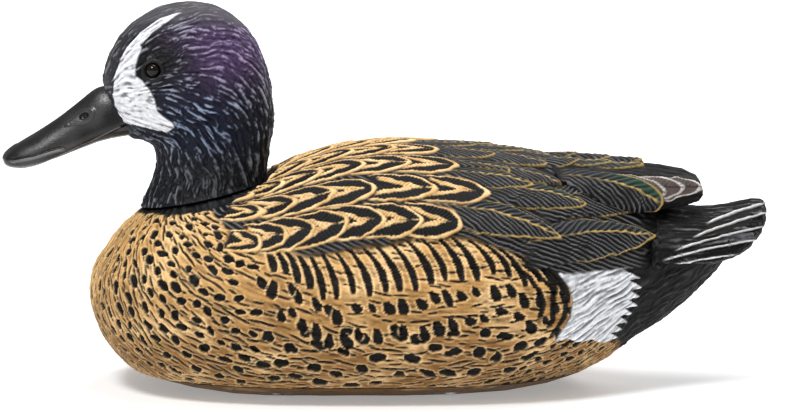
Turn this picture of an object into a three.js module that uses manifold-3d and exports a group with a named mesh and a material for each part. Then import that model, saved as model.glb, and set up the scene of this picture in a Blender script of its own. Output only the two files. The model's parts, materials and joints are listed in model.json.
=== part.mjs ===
// A floating duck decoy: a blue-winged teal drake with a swivelling head.
// Millimetres, +Z up. The bill points along -X and the tail along +X.
// The origin is on the flat of the hull, under the middle of the whole decoy.
import * as THREE from "three";
import { mergeVertices } from "three/addons/utils/BufferGeometryUtils.js";
import Module from "manifold-3d";

const wasm = await Module();
wasm.setup();

// ---- Driving dimensions ----
const WALL = 3; // shell of the body
const HEAD_WALL = 3.5;
const GAP = 0.3; // between pieces that touch
const HULL_TOP = 6.5; // the hull pan's joint face
const FLANGE_TOP = 10.5; // the shell's inner flange rests on the hull pan
const FLANGE_WIDTH = 17;

const NECK = new THREE.Vector3(-78.5, 0, 83); // centre of the joint between head and body
const NECK_TILT = THREE.MathUtils.degToRad(12); // the neck leans forward
const NECK_RADIUS = 28;
const SEAT_THICKNESS = 4;
const PIVOT_RADIUS = 6;
const NECK_PLUG = { radius: 17.5, top: 9.2, low: -18 }; // heights above the neck joint
const BUSHING = { outer: 9, low: -5.5, flange: 12.5, flangeLow: -1.65 };
const SEAL = { inner: 20, outer: 23, low: -1.3 };

const EYE = { x: -98.8, y: 17.5, z: 138.4, radius: 3.9 };

// ---- Geometry helpers ----
function solidOf(geometry) {
  const bare = geometry.index ? geometry.toNonIndexed() : geometry.clone();
  bare.deleteAttribute("normal");
  bare.deleteAttribute("uv");
  const merged = mergeVertices(bare, 1e-3);
  const index = merged.index.array;
  const triangles = [];
  for (let i = 0; i < index.length; i += 3) {
    const [a, b, c] = [index[i], index[i + 1], index[i + 2]];
    if (a !== b && b !== c && a !== c) triangles.push(a, b, c);
  }
  return new wasm.Manifold(
    new wasm.Mesh({
      numProp: 3,
      vertProperties: merged.attributes.position.array,
      triVerts: new Uint32Array(triangles),
    }),
  );
}

function geometryOf(solid) {
  const mesh = solid.getMesh();
  const geometry = new THREE.BufferGeometry();
  geometry.setAttribute("position", new THREE.BufferAttribute(Float32Array.from(mesh.vertProperties), 3));
  geometry.setIndex(new THREE.BufferAttribute(Uint32Array.from(mesh.triVerts), 1));
  geometry.computeVertexNormals();
  return geometry;
}

// A closed skin through rings of points, each ring the same length, with a flat cap at each end.
function loft(rings) {
  const around = rings[0].length;
  const points = rings.flat();
  const triangles = [];
  for (let i = 0; i + 1 < rings.length; i++) {
    for (let j = 0; j < around; j++) {
      const a = i * around + j;
      const b = i * around + ((j + 1) % around);
      triangles.push(a, b, a + around, b, b + around, a + around);
    }
  }
  for (const [ring, first, turned] of [
    [rings[0], 0, true],
    [rings.at(-1), (rings.length - 1) * around, false],
  ]) {
    const centre = points.length;
    points.push(ring.reduce((sum, p) => sum.add(p), new THREE.Vector3()).divideScalar(around));
    for (let j = 0; j < around; j++) {
      const a = first + j;
      const b = first + ((j + 1) % around);
      triangles.push(...(turned ? [centre, b, a] : [centre, a, b]));
    }
  }
  const geometry = new THREE.BufferGeometry().setFromPoints(points);
  geometry.setIndex(triangles);
  const solid = solidOf(geometry);
  if (solid.volume() > 0) return solid;
  geometry.setIndex(triangles.reverse());
  return solidOf(geometry);
}

// Stations with smooth ones added between them, so that a few describe a curved form.
function refine(stations, steps) {
  const at = (i) => stations[Math.max(0, Math.min(stations.length - 1, i))];
  const fine = [];
  for (let i = 0; i + 1 < stations.length; i++) {
    for (let k = 0; k < steps; k++) {
      const t = k / steps;
      fine.push(
        at(i).map((_, c) => {
          const [p, q, r, s] = [at(i - 1)[c], at(i)[c], at(i + 1)[c], at(i + 2)[c]];
          return q + 0.5 * t * (r - p + t * (2 * p - 5 * q + 4 * r - s + t * (3 * (q - r) + s - p)));
        }),
      );
    }
  }
  fine.push(stations.at(-1));
  return fine;
}

// A rounded section: 1 at the widest point, power 2 is an ellipse and more is squarer.
const rounded = (value, power) => Math.sign(value) * Math.abs(value) ** (2 / power);

function lathe(profile, segments) {
  const geometry = new THREE.LatheGeometry(
    profile.map(([r, z]) => new THREE.Vector2(r, z)),
    segments,
  );
  geometry.rotateX(Math.PI / 2);
  const solid = solidOf(geometry);
  if (solid.volume() > 0) return solid;
  return solidOf(
    new THREE.LatheGeometry(profile.toReversed().map(([r, z]) => new THREE.Vector2(r, z)), segments).rotateX(
      Math.PI / 2,
    ),
  );
}

const disc = (radius, low, high, segments) =>
  lathe([[0, low], [radius, low], [radius, high], [0, high]], segments);

const washer = (inner, outer, low, high, segments) =>
  lathe([[inner, low], [outer, low], [outer, high], [inner, high], [inner, low]], segments);

const box = (x, y, z) =>
  solidOf(
    new THREE.BoxGeometry(x[1] - x[0], y[1] - y[0], z[1] - z[0]).translate(
      (x[0] + x[1]) / 2,
      (y[0] + y[1]) / 2,
      (z[0] + z[1]) / 2,
    ),
  );

// From the neck's own frame, whose Z is the swivel axis, to the decoy's frame.
const neckTurn = new THREE.Matrix4().makeRotationY(-NECK_TILT);
const neckMatrix = new THREE.Matrix4().makeTranslation(NECK).multiply(neckTurn);
const inNeck = (solid) => solid.transform(neckMatrix.elements);

// ---- Body form ----
// Each section: x, keel line, back line, half width, height of the widest point, upper and lower roundness.
const BODY = [
  [-126.1, 40.5, 43.5, 2.5, 42, 2, 2],
  [-125.2, 35, 49, 14, 42, 2, 2],
  [-123, 27.6, 55, 25, 42, 2.05, 2.05],
  [-118.7, 19.8, 63, 35.5, 42.5, 2.1, 2.1],
  [-113, 13.2, 69.6, 43, 43, 2.15, 2.2],
  [-105.7, 7.6, 75.6, 50, 43.5, 2.2, 2.3],
  [-96, 3.6, 79.6, 56.5, 43.5, 2.2, 2.5],
  [-82, 0.8, 83, 62.5, 43, 2.2, 2.7],
  [-64, -1.2, 87, 67, 42.5, 2.2, 2.9],
  [-48, -1.6, 92.4, 69, 42, 2.2, 3],
  [-36.5, -1.6, 98, 70, 42, 2.15, 3],
  [-18, -1.6, 103.4, 70.5, 42, 2.15, 3],
  [5, -1.6, 105.6, 70.5, 42, 2.15, 3],
  [30, -1.4, 104, 69, 43, 2.15, 2.9],
  [52, -0.6, 102, 65, 45, 2.15, 2.7],
  [70, 1.6, 98.6, 58.5, 48, 2.1, 2.4],
  [84, 5.2, 93.5, 51, 51.5, 2.1, 2.2],
  [96, 11.5, 86.5, 43, 54.5, 2.05, 2],
  [108, 20, 81.5, 35, 57, 2, 1.9],
  [120, 27.6, 77, 28, 59, 2, 1.85],
  [131, 36.6, 74.4, 22, 61, 2, 1.85],
  [141, 46, 73.6, 16, 63, 2, 1.9],
  [147.5, 53.5, 73, 9.5, 65.5, 2, 2],
  [149.5, 62.5, 68, 2.5, 65.5, 2, 2],
];
const AROUND = 28;

function bodyRing([x, low, high, half, wide, upper, lower], grow, around) {
  return Array.from({ length: around }, (_, j) => {
    const t = (2 * Math.PI * (j + 0.5)) / around;
    const top = Math.sin(t) > 0;
    const power = top ? upper : lower;
    const height = top ? high + grow - wide : wide - low + grow;
    const y = (half + grow) * rounded(Math.cos(t), power);
    return new THREE.Vector3(x, y, wide + height * rounded(Math.sin(t), power));
  });
}

// The whole form, grown or shrunk all round by the same distance.
function bodyForm(grow, around = AROUND) {
  const room = Math.max(0, -grow) + 4;
  // A shrunk form leaves out the end sections that it has no room in.
  const roomy = ([, keel, back, half]) => half > room + 6 && back - keel > 2 * room + 12;
  const kept = grow < 0 ? BODY.filter(roomy) : BODY;
  const length = BODY.at(-1)[0] - BODY[0][0];
  const middle = (BODY.at(-1)[0] + BODY[0][0]) / 2;
  const stretch = 1 + (2 * grow) / length;
  const moved = kept.map(([x, ...rest]) => [middle + (x - middle) * stretch, ...rest]);
  return loft(moved.map((s) => bodyRing(s, grow, around)));
}

// An upright block on the hull's outline at the joint, its sides moved in by the inset.
function hullBlock(inset, low, high) {
  const side = refine(BODY, 4)
    .filter((s) => s[1] < HULL_TOP - 0.1)
    .filter((_, i, all) => i % 3 === 0 || i === all.length - 1)
    .map(([x, keel, , half, wide, , power]) => {
      const down = (wide - HULL_TOP) / (wide - keel);
      return new THREE.Vector2(x, half * (1 - down ** power) ** (1 / power));
    });
  const outline = [...side, ...side.toReversed().map((p) => new THREE.Vector2(p.x, -p.y))];
  const shape = new THREE.Shape(
    outline.map((p, i) => {
      const along = outline[(i + 1) % outline.length].clone().sub(outline.at(i - 1)).normalize();
      return new THREE.Vector2(p.x + along.y * inset, p.y - along.x * inset);
    }),
  );
  const block = new THREE.ExtrudeGeometry(shape, { depth: high - low, bevelEnabled: false });
  return solidOf(block.translate(0, 0, low));
}

// ---- Hull fittings ----
const HULL_SCREWS = [
  [-88, 0],
  [-46, -40],
  [-46, 40],
  [28, -39],
  [28, 39],
  [70, 0],
];
const SCREW = { shank: 1.6, head: 3.2, headLow: 2.2, headHigh: 4, tip: 10 };
const CROSS_SLOT = { half: 0.5, reach: 2.1, depth: 3.1 };
const RECESS = { x: [-76, -44], y: [-15, 15], ceiling: 8, wall: 2 };
const RING = { pivotX: -50, pivotZ: 4.6, wire: 1.4, width: 16, reach: 17, corner: 4, sides: 8 };
const RING_DROOP = THREE.MathUtils.degToRad(9);
const STRAP = { half: 4, length: 14.6, plate: 1.2, under: 1.7, screwY: 12.4, shank: 1, head: 2 };
const DRAIN = { x: 50, stem: 6.2, flange: 9.2, low: 0.6, flangeTop: 2.6, top: 9.8, boss: 9.6, bossTop: 8.8 };
const DRAIN_SEAT = 4.1; // where the drain plug's seal presses
const COIN_SLOT = { half: 0.9, reach: 6, top: 1.7 };
const BALLAST = { x: [-32, 30], half: 15, low: HULL_TOP + GAP, high: 13, screws: [-22, 20] };
const BALLAST_SCREW = { shank: 1.5, head: 3, headHeight: 2.2, low: 2.7, slot: 0.4 };
// Inset from the hull's edge, and height, of the gasket and of the groove it lies in.
const GASKET = { outer: 6, inner: 8.2, low: 5.2 };
const GROOVE = { outer: 5.7, inner: 8.5, low: 4.9 };
const FOAM = { gap: 3, low: 16, neckRoom: 18, x: [-112, 118], high: 95 };

const above = (z) => box([-200, 200], [-200, 200], [z, 300]);
const below = (z) => box([-200, 200], [-200, 200], [-100, z]);
const drilled = (at, radius, low, high) => disc(radius, low, high, 14).translate([at[0], at[1], 0]);

function bodyShell() {
  const flangeHole = hullBlock(FLANGE_WIDTH, 0, FLANGE_TOP + 1);
  const hollow = bodyForm(-WALL, 20).intersect(above(FLANGE_TOP));
  const seat = inNeck(disc(NECK_RADIUS + 0.5, -SEAT_THICKNESS - GAP / 2, -GAP / 2, 32));
  // The stump under the neck joint flares into the breast and the back.
  const flare = [[34, -16], [32.4, -10], [30.2, -5], [NECK_RADIUS + 0.6, -GAP / 2]];
  const stump = inNeck(lathe([[0, -16], ...flare, [0, -GAP / 2]], 32));
  const cleared = inNeck(disc(NECK_RADIUS + 2.6, -GAP / 2, 40, 32));
  const bore = inNeck(disc(BUSHING.outer + GAP, -30, 10, 24));
  const flangeRecess = inNeck(disc(BUSHING.flange + GAP, BUSHING.flangeLow - GAP, 10, 24));
  const sealGroove = inNeck(washer(SEAL.inner - GAP, SEAL.outer + GAP, SEAL.low - GAP, 5, 32));
  let shell = bodyForm(0).add(stump).subtract(cleared).intersect(above(HULL_TOP + GAP));
  shell = shell.subtract(hollow).subtract(flangeHole);
  shell = shell.add(seat).subtract(bore).subtract(flangeRecess).subtract(sealGroove);
  for (const at of HULL_SCREWS) shell = shell.subtract(drilled(at, SCREW.shank + GAP, 0, 14));
  return shell;
}

// The gasket and its groove follow the hull's outline just inside the edge.
const gasketBand = ({ outer, inner, low }, high) =>
  hullBlock(outer, low, high).subtract(hullBlock(inner, low - 1, high + 1));

function hullPan() {
  let pan = bodyForm(0).intersect(above(0)).intersect(below(HULL_TOP));
  const { x, y, ceiling, wall } = RECESS;
  pan = pan.add(box([x[0] - wall, x[1] + wall], [y[0] - wall, y[1] + wall], [1, ceiling + wall]));
  pan = pan.subtract(box(x, y, [-1, ceiling]));
  pan = pan.add(drilled([DRAIN.x, 0], DRAIN.boss, 1, DRAIN.bossTop));
  pan = pan.subtract(drilled([DRAIN.x, 0], DRAIN.flange + GAP, -1, DRAIN_SEAT));
  pan = pan.subtract(drilled([DRAIN.x, 0], DRAIN.stem + GAP, -1, 20));
  for (const at of HULL_SCREWS) {
    pan = pan.subtract(drilled(at, SCREW.shank + GAP, -1, 14));
    pan = pan.subtract(drilled(at, SCREW.head + GAP, -1, SCREW.headHigh + GAP));
  }
  for (const sx of BALLAST.screws) {
    pan = pan.subtract(drilled([sx, 0], BALLAST_SCREW.shank + GAP, BALLAST_SCREW.low - GAP, 14));
  }
  for (const side of [-1, 1]) {
    pan = pan.subtract(drilled([RING.pivotX, side * STRAP.screwY], STRAP.shank + GAP, 2, ceiling + 1.4));
  }
  return pan.subtract(gasketBand(GROOVE, HULL_TOP + 1));
}

function foamCore() {
  const core = bodyForm(-WALL - FOAM.gap, 14).intersect(above(FOAM.low));
  const pivotRoom = inNeck(disc(FOAM.neckRoom, -26, 60, 24));
  return core.subtract(pivotRoom).intersect(box(FOAM.x, [-80, 80], [0, FOAM.high]));
}

// ---- Head form, in the neck's frame ----
// Each section: height, front, back, half width, place of the widest point, front and back roundness.
const HEAD = [
  [0, -28, 28, 28, 0, 2, 2],
  [3, -25.6, 28.8, 26.6, 0, 2, 2],
  [9, -20.8, 30.7, 23, 3, 2, 2.05],
  [15, -17.1, 33.1, 20.4, 7, 2, 2.1],
  [21, -15.9, 35.6, 19.2, 9, 1.95, 2.1],
  [25.5, -17, 36.9, 19.2, 9.5, 1.9, 2.1],
  [28.5, -20.4, 37.5, 19.8, 9.5, 1.85, 2.1],
  [31, -28.5, 37.9, 20.6, 9, 1.8, 2.1],
  [34.5, -31.4, 38.3, 21.5, 8.5, 1.75, 2.1],
  [41, -32.3, 38.7, 22.2, 7.5, 1.75, 2.1],
  [48, -33, 38.3, 22.3, 6.5, 1.8, 2.1],
  [55, -32.8, 37.5, 21.8, 5.5, 1.9, 2.1],
  [61.5, -30.4, 35.9, 20.4, 4.8, 2, 2.1],
  [68, -26.4, 32.8, 18.2, 4.2, 2, 2.1],
  [74, -21, 28.4, 15.2, 4.2, 2, 2],
  [79, -13.8, 22.2, 11, 4.5, 2, 2],
  [82.2, -5.4, 14, 5.8, 5, 2, 2],
  [83.4, 3, 7, 1.2, 5, 2, 2],
];

function headRing([height, front, back, half, wide, frontPower, backPower], grow, around) {
  return Array.from({ length: around }, (_, j) => {
    const t = (2 * Math.PI * j) / around;
    const rear = Math.cos(t) > 0;
    const power = rear ? backPower : frontPower;
    const length = rear ? back + grow - wide : wide - front + grow;
    const y = (half + grow) * rounded(Math.sin(t), power);
    return new THREE.Vector3(wide + length * rounded(Math.cos(t), power), y, height);
  });
}

function headForm(grow, { around = 28, stations = HEAD } = {}) {
  return inNeck(loft(stations.map((s) => headRing(s, grow, around))));
}

// ---- Bill form ----
// Each section: x, underside, ridge, half width, height of the widest point, upper and lower roundness.
const BILL = [
  [-165, 97.2, 98.4, 2, 97.8, 2, 2],
  [-164, 95.2, 100.6, 5, 97.4, 2, 2],
  [-161.5, 94.2, 102.8, 7.4, 97, 2, 2],
  [-156.5, 93.8, 106.2, 9.2, 97.6, 1.8, 2.2],
  [-149, 95, 110.6, 10, 99.4, 1.65, 2.2],
  [-140.3, 98, 116.4, 9.6, 102.4, 1.6, 2.2],
  [-131.7, 101.4, 123.2, 9, 106, 1.6, 2.2],
  [-123.9, 104.4, 129.8, 9.4, 109.6, 1.65, 2.2],
  [-118, 106, 130.4, 10, 111.4, 1.8, 2.2],
  [-110, 107.4, 126, 8.6, 112, 2, 2.2],
];
// The mouth line rises from the bill's underside towards the cheek.
const MOUTH = { x: -149, z: 95.6, slope: 0.47 };

const billForm = (grow) => loft(BILL.map((s) => bodyRing(s, grow, 20)));

function belowMouth(lift) {
  const { x, z, slope } = MOUTH;
  const side = new THREE.Shape([
    new THREE.Vector2(x - 60, z + lift - 60 * slope),
    new THREE.Vector2(x + 60, z + lift + 60 * slope),
    new THREE.Vector2(x + 60, 0),
    new THREE.Vector2(x - 60, 0),
  ]);
  const block = new THREE.ExtrudeGeometry(side, { depth: 80, bevelEnabled: false });
  return solidOf(block.rotateX(Math.PI / 2).translate(0, 40, 0));
}

const LOWER_BILL_INSET = 0.9; // the lower half closes just inside the upper one
const upperBill = () => billForm(0).subtract(belowMouth(GAP / 2));
const lowerBill = () => billForm(-LOWER_BILL_INSET).intersect(belowMouth(-GAP / 2));

const eyeBall = (side, grow) =>
  solidOf(new THREE.SphereGeometry(EYE.radius + grow, 14, 8)).translate([EYE.x, side * EYE.y, EYE.z]);

// The middle sections alone, so that the crown and the neck's foot stay thick.
const headInside = (inset) => headForm(-inset, { around: 14, stations: HEAD.slice(2, 15) });

function headShell() {
  let shell = headForm(0).intersect(inNeck(disc(120, GAP / 2, 200, 24)));
  shell = shell.subtract(headInside(HEAD_WALL));
  shell = shell.subtract(inNeck(disc(NECK_PLUG.radius + GAP, -5, NECK_PLUG.top + 0.4, 32)));
  shell = shell.subtract(billForm(GAP));
  for (const side of [-1, 1]) shell = shell.subtract(eyeBall(side, GAP));
  return shell;
}

const eye = (side) => eyeBall(side, 0).subtract(headInside(HEAD_WALL - 0.2));

// ---- Neck pivot, in the neck's frame ----
const pivotWasher = (outer, low, high) => inNeck(washer(PIVOT_RADIUS + GAP, outer, low, high, 24));
const neckPlug = () =>
  inNeck(disc(NECK_PLUG.radius, GAP / 2, NECK_PLUG.top, 32).add(disc(PIVOT_RADIUS, NECK_PLUG.low, 1, 24)));
const neckBushing = () =>
  pivotWasher(BUSHING.outer, BUSHING.low, -0.6).add(pivotWasher(BUSHING.flange, BUSHING.flangeLow, -GAP / 2));
const neckSeal = () => inNeck(washer(SEAL.inner, SEAL.outer, SEAL.low, -GAP / 2, 32));
const thrustWasher = () => pivotWasher(11.5, -7.3, -5.8);
// The spring washer is a shallow cone.
const springWasher = () =>
  inNeck(lathe([[6.3, -9.3], [10.8, -8.2], [10.8, -7.6], [6.3, -8.7], [6.3, -9.3]], 24));
const lockNut = () => inNeck(disc(10.4, -15.6, -9.6, 6).subtract(disc(PIVOT_RADIUS + GAP, -20, 0, 24)));

// ---- Tail and wing tips ----
const TAIL = [
  [106, 52, 82.6, 35, 57, 1.7, 1.4],
  [118, 53, 79.4, 32.5, 57.5, 1.7, 1.4],
  [130, 53, 77.6, 30, 57.5, 1.7, 1.4],
  [141, 53, 77.4, 28, 57, 1.7, 1.4],
  [150, 55, 78.8, 25, 59, 1.75, 1.4],
  [158, 60, 80.6, 19, 64, 1.8, 1.5],
  [163, 66, 80.6, 12, 70, 1.9, 1.7],
  [165, 71.4, 78, 5, 74, 2, 2],
];

function tailFan() {
  const fan = loft(TAIL.map((s) => bodyRing(s, 0, 24)));
  return fan.subtract(bodyForm(GAP));
}

// A folded wing tip's sections: x, middle y, middle z, half width, half height.
const WING_TIP = [
  [66, 19, 90, 15, 6.5],
  [84, 17, 88.6, 13.5, 7.4],
  [102, 14, 87, 11, 8],
  [118, 11, 86.2, 8.6, 7.8],
  [129, 9, 86, 6.8, 6.4],
  [135, 8, 85.4, 5, 4.2],
  [137, 7.6, 84.6, 2.6, 1.8],
];

function wingTip(side) {
  const slope = 0.35; // the tip slopes down and outward from the middle of the back
  const ring = ([x, y, z, half, height]) =>
    Array.from({ length: 16 }, (_, j) => {
      const t = (2 * Math.PI * j) / 16;
      const across = half * rounded(Math.cos(t), 2.4);
      const rise = height * rounded(Math.sin(t), 2.2) - slope * across;
      return new THREE.Vector3(x, side * (y + across), z + rise);
    });
  const tip = loft(WING_TIP.map(ring));
  const halfSpace = box([0, 200], side > 0 ? [GAP, 100] : [-100, -GAP], [0, 200]);
  return tip.intersect(halfSpace).subtract(bodyForm(GAP)).subtract(tailFan());
}

// ---- Small hardware ----
function hullScrew([x, y]) {
  const { shank, head, headLow, headHigh, tip } = SCREW;
  const { half, reach, depth } = CROSS_SLOT;
  const slot = box([-half, half], [-reach, reach], [0, depth]);
  const cross = slot.add(box([-reach, reach], [-half, half], [0, depth]));
  const screw = disc(head, headLow, headHigh, 14).add(disc(shank, headHigh - 0.5, tip, 10));
  return screw.subtract(cross).translate([x, y, 0]);
}

const ballastBar = () => {
  const { x, half, low, high, screws } = BALLAST;
  let bar = box(x, [-half, half], [low, high]);
  for (const sx of screws) bar = bar.subtract(drilled([sx, 0], BALLAST_SCREW.shank + GAP, 0, 20));
  return bar;
};

function ballastScrew(x) {
  const { shank, head, headHeight, low, slot } = BALLAST_SCREW;
  const top = BALLAST.high + headHeight;
  return disc(head, BALLAST.high + GAP, top, 16)
    .add(disc(shank, low, BALLAST.high + 1, 12))
    .subtract(box([-0.8 * head, 0.8 * head], [-slot, slot], [top - 2 * slot, top + 1]))
    .translate([x, 0, 0]);
}

function drainPlug() {
  const { stem, flange, low, flangeTop, top } = DRAIN;
  const { half, reach, top: slotTop } = COIN_SLOT;
  const coinSlot = box([-reach, reach], [-half, half], [0, slotTop]);
  const plug = disc(flange, low, flangeTop, 28).add(disc(stem, flangeTop - 0.5, top, 20));
  return plug.subtract(coinSlot).translate([DRAIN.x, 0, 0]);
}

function drainSeal() {
  const { x, stem, flange, flangeTop } = DRAIN;
  return washer(stem + GAP, flange - 0.4, flangeTop + 0.25, DRAIN_SEAT - GAP, 24).translate([x, 0, 0]);
}

// The strap's middle bows down under the ring's straight bar and holds it against the recess.
function lineStrap() {
  const { pivotX: x, pivotZ: z, wire } = RING;
  const top = RECESS.ceiling - GAP;
  const { half, length, plate, under } = STRAP;
  let strap = box([x - half, x + half], [-length, length], [top - plate, top]);
  strap = strap.add(box([x - half, x + half], [-half, half], [z - wire - under, top]));
  const tunnel = solidOf(new THREE.CylinderGeometry(wire + GAP, wire + GAP, 40, 20));
  strap = strap.subtract(tunnel.translate([x, 0, z]));
  for (const side of [-1, 1]) {
    strap = strap.subtract(drilled([x, side * STRAP.screwY], STRAP.shank + GAP, 0, 20));
  }
  return strap;
}

const strapScrew = (side) =>
  disc(STRAP.head, RECESS.ceiling - 3.2, RECESS.ceiling - 2.2, 16)
    .add(disc(STRAP.shank, RECESS.ceiling - 2.5, RECESS.ceiling + 1.1, 12))
    .translate([RING.pivotX, side * STRAP.screwY, 0]);

// A dee of wire: a straight bar on the swing axis and a bow, as one closed tube.
function lineRing() {
  const { pivotX, pivotZ, wire, width, reach, corner, sides } = RING;
  const half = width / 2;
  const middle = [];
  const arc = (cx, cy, radius, from, to, steps) => {
    for (let i = 0; i <= steps; i++) {
      const t = from + ((to - from) * i) / steps;
      middle.push(new THREE.Vector2(cx + radius * Math.cos(t), cy + radius * Math.sin(t)));
    }
  };
  arc(-corner, half - corner, corner, Math.PI / 2, 0, 3);
  arc(-corner, -half + corner, corner, 0, -Math.PI / 2, 3);
  arc(-reach + half, 0, half, (3 * Math.PI) / 2, Math.PI / 2, 10);
  const rings = middle.map((p, i) => {
    const before = middle.at(i - 1);
    const after = middle[(i + 1) % middle.length];
    const along = after.clone().sub(before).normalize();
    const out = new THREE.Vector2(along.y, -along.x);
    return Array.from({ length: sides }, (_, j) => {
      const t = (2 * Math.PI * j) / sides;
      const rim = p.clone().addScaledVector(out, wire * Math.cos(t));
      return new THREE.Vector3(rim.x, rim.y, wire * Math.sin(t));
    });
  });
  const points = rings.flat();
  const triangles = [];
  rings.forEach((_, i) => {
    const next = (i + 1) % rings.length;
    for (let j = 0; j < sides; j++) {
      const [a, b] = [i * sides + j, i * sides + ((j + 1) % sides)];
      const [c, d] = [next * sides + j, next * sides + ((j + 1) % sides)];
      triangles.push(a, b, c, b, d, c);
    }
  });
  const geometry = new THREE.BufferGeometry().setFromPoints(points);
  geometry.setIndex(triangles);
  let ring = solidOf(geometry);
  if (ring.volume() < 0) {
    geometry.setIndex(triangles.reverse());
    ring = solidOf(geometry);
  }
  const hung = new THREE.Matrix4().makeRotationY(-RING_DROOP);
  const place = new THREE.Matrix4().makeTranslation(pivotX, 0, pivotZ).multiply(hung);
  return ring.transform(place.elements);
}

// ---- Finishes ----
const finish = (color, roughness, metalness = 0) =>
  new THREE.MeshStandardMaterial({ color, roughness, metalness });
const buff = finish(0xb98d4f, 0.6);
const slate = finish(0x2b2c31, 0.5);
const black = finish(0x1d1d1f, 0.5);
const brown = finish(0x4b413b, 0.6);
const foam = finish(0xe4dfd2, 0.95);
const rubber = finish(0x191919, 0.9);
const nylon = finish(0x3c3c3e, 0.55);
const zinc = finish(0x9b9d9f, 0.35, 1);
const stainless = finish(0xb5b7ba, 0.25, 1);
const lead = finish(0x6d6f72, 0.6, 1);
const glassEye = finish(0x0b0705, 0.08);

const decoy = new THREE.Group();
function add(name, solid, material) {
  const mesh = new THREE.Mesh(geometryOf(solid), material);
  mesh.name = name;
  decoy.add(mesh);
}

add("body_shell", bodyShell(), buff);
add("hull_pan", hullPan(), buff);
add("hull_gasket", gasketBand(GASKET, HULL_TOP), rubber);
add("foam_core", foamCore(), foam);
add("tail_fan", tailFan(), black);
add("ballast_bar", ballastBar(), lead);
add("drain_plug", drainPlug(), nylon);
add("drain_plug_seal", drainSeal(), rubber);
add("line_tie_strap", lineStrap(), stainless);
add("line_ring", lineRing(), stainless);
add("neck_bushing", neckBushing(), nylon);
add("neck_seal", neckSeal(), rubber);
add("head_shell", headShell(), slate);
add("upper_bill", upperBill(), black);
add("lower_bill", lowerBill(), black);
add("neck_plug", neckPlug(), nylon);
add("thrust_washer", thrustWasher(), stainless);
add("spring_washer", springWasher(), stainless);
add("lock_nut", lockNut(), zinc);
["front", "rear"].forEach((word, i) => add("ballast_screw_" + word, ballastScrew(BALLAST.screws[i]), zinc));
HULL_SCREWS.forEach((at, i) => add("hull_screw_" + (i + 1), hullScrew(at), stainless));
for (const [word, side] of [["left", -1], ["right", 1]]) {
  add(word + "_wing_tip", wingTip(side), brown);
  add(word + "_eye", eye(side), glassEye);
  add("line_tie_screw_" + word, strapScrew(side), stainless);
}

export default decoy;
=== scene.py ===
"""Looks of the floating duck decoy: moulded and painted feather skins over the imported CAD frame.

Each skin is found by casting rays onto a CAD node, so its size and place come from the frame.
Feathers, spots and streaks are then pressed and painted on the left half, and mirrored to the right.
Lengths in the working arrays are millimetres; meshes are made in metres.
"""
import json
import math

import bpy
import numpy as np
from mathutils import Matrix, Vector
from mathutils.bvhtree import BVHTree

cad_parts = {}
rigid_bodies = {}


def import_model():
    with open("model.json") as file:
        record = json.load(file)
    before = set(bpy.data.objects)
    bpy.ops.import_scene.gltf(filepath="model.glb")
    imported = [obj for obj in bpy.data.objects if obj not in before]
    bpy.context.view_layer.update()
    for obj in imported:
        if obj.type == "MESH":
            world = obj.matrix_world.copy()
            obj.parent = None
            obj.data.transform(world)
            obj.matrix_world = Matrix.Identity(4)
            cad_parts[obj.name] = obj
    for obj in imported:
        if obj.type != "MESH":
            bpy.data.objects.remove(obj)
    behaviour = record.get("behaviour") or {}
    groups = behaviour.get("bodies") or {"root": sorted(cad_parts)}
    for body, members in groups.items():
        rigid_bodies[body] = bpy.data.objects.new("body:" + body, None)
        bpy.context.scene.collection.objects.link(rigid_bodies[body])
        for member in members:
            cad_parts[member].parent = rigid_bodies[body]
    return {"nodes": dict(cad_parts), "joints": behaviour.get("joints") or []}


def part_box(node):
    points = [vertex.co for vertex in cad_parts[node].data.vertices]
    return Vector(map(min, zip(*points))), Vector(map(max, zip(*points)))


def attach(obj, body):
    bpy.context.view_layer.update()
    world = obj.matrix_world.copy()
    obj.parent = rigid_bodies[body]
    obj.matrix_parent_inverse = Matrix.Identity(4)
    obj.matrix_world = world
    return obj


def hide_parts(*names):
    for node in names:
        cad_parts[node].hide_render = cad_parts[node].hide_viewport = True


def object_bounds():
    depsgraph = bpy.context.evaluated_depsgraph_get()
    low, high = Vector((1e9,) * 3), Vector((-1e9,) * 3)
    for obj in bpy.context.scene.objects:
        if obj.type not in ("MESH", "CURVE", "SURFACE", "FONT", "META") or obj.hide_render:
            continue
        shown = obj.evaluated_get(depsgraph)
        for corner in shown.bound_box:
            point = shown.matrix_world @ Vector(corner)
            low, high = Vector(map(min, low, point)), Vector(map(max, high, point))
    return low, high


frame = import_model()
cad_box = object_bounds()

MM = 0.001
CELL = 0.5  # spacing of the body skin's points
HEAD_CELL = 0.45
LENGTH = (cad_box[1][0] - cad_box[0][0]) / MM
SCALE = LENGTH / 330  # the patterns below are laid out on a decoy 330 mm long
FAR = 260  # from a form's middle to well outside it
UP = np.array([0, 0, 1.0])
LEFT = np.array([0, -1.0, 0])
rng = np.random.default_rng(7)  # draws the flank bars


# ---- Numbers and colours ----
def srgb(red, green, blue):
    """A display colour from 0 to 255 as a linear colour."""
    c = np.array([red, green, blue], float) / 255
    return np.where(c <= 0.04045, c / 12.92, ((c + 0.055) / 1.055) ** 2.4)


def smooth(low, high, value):
    t = np.clip((value - low) / (high - low), 0, 1)
    return t * t * (3 - 2 * t)


def unit(vectors):
    return vectors / np.maximum(np.linalg.norm(vectors, axis=-1, keepdims=True), 1e-9)


def mix(a, b, share):
    share = np.asarray(share)[..., None]
    return a * (1 - share) + b * share


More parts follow.
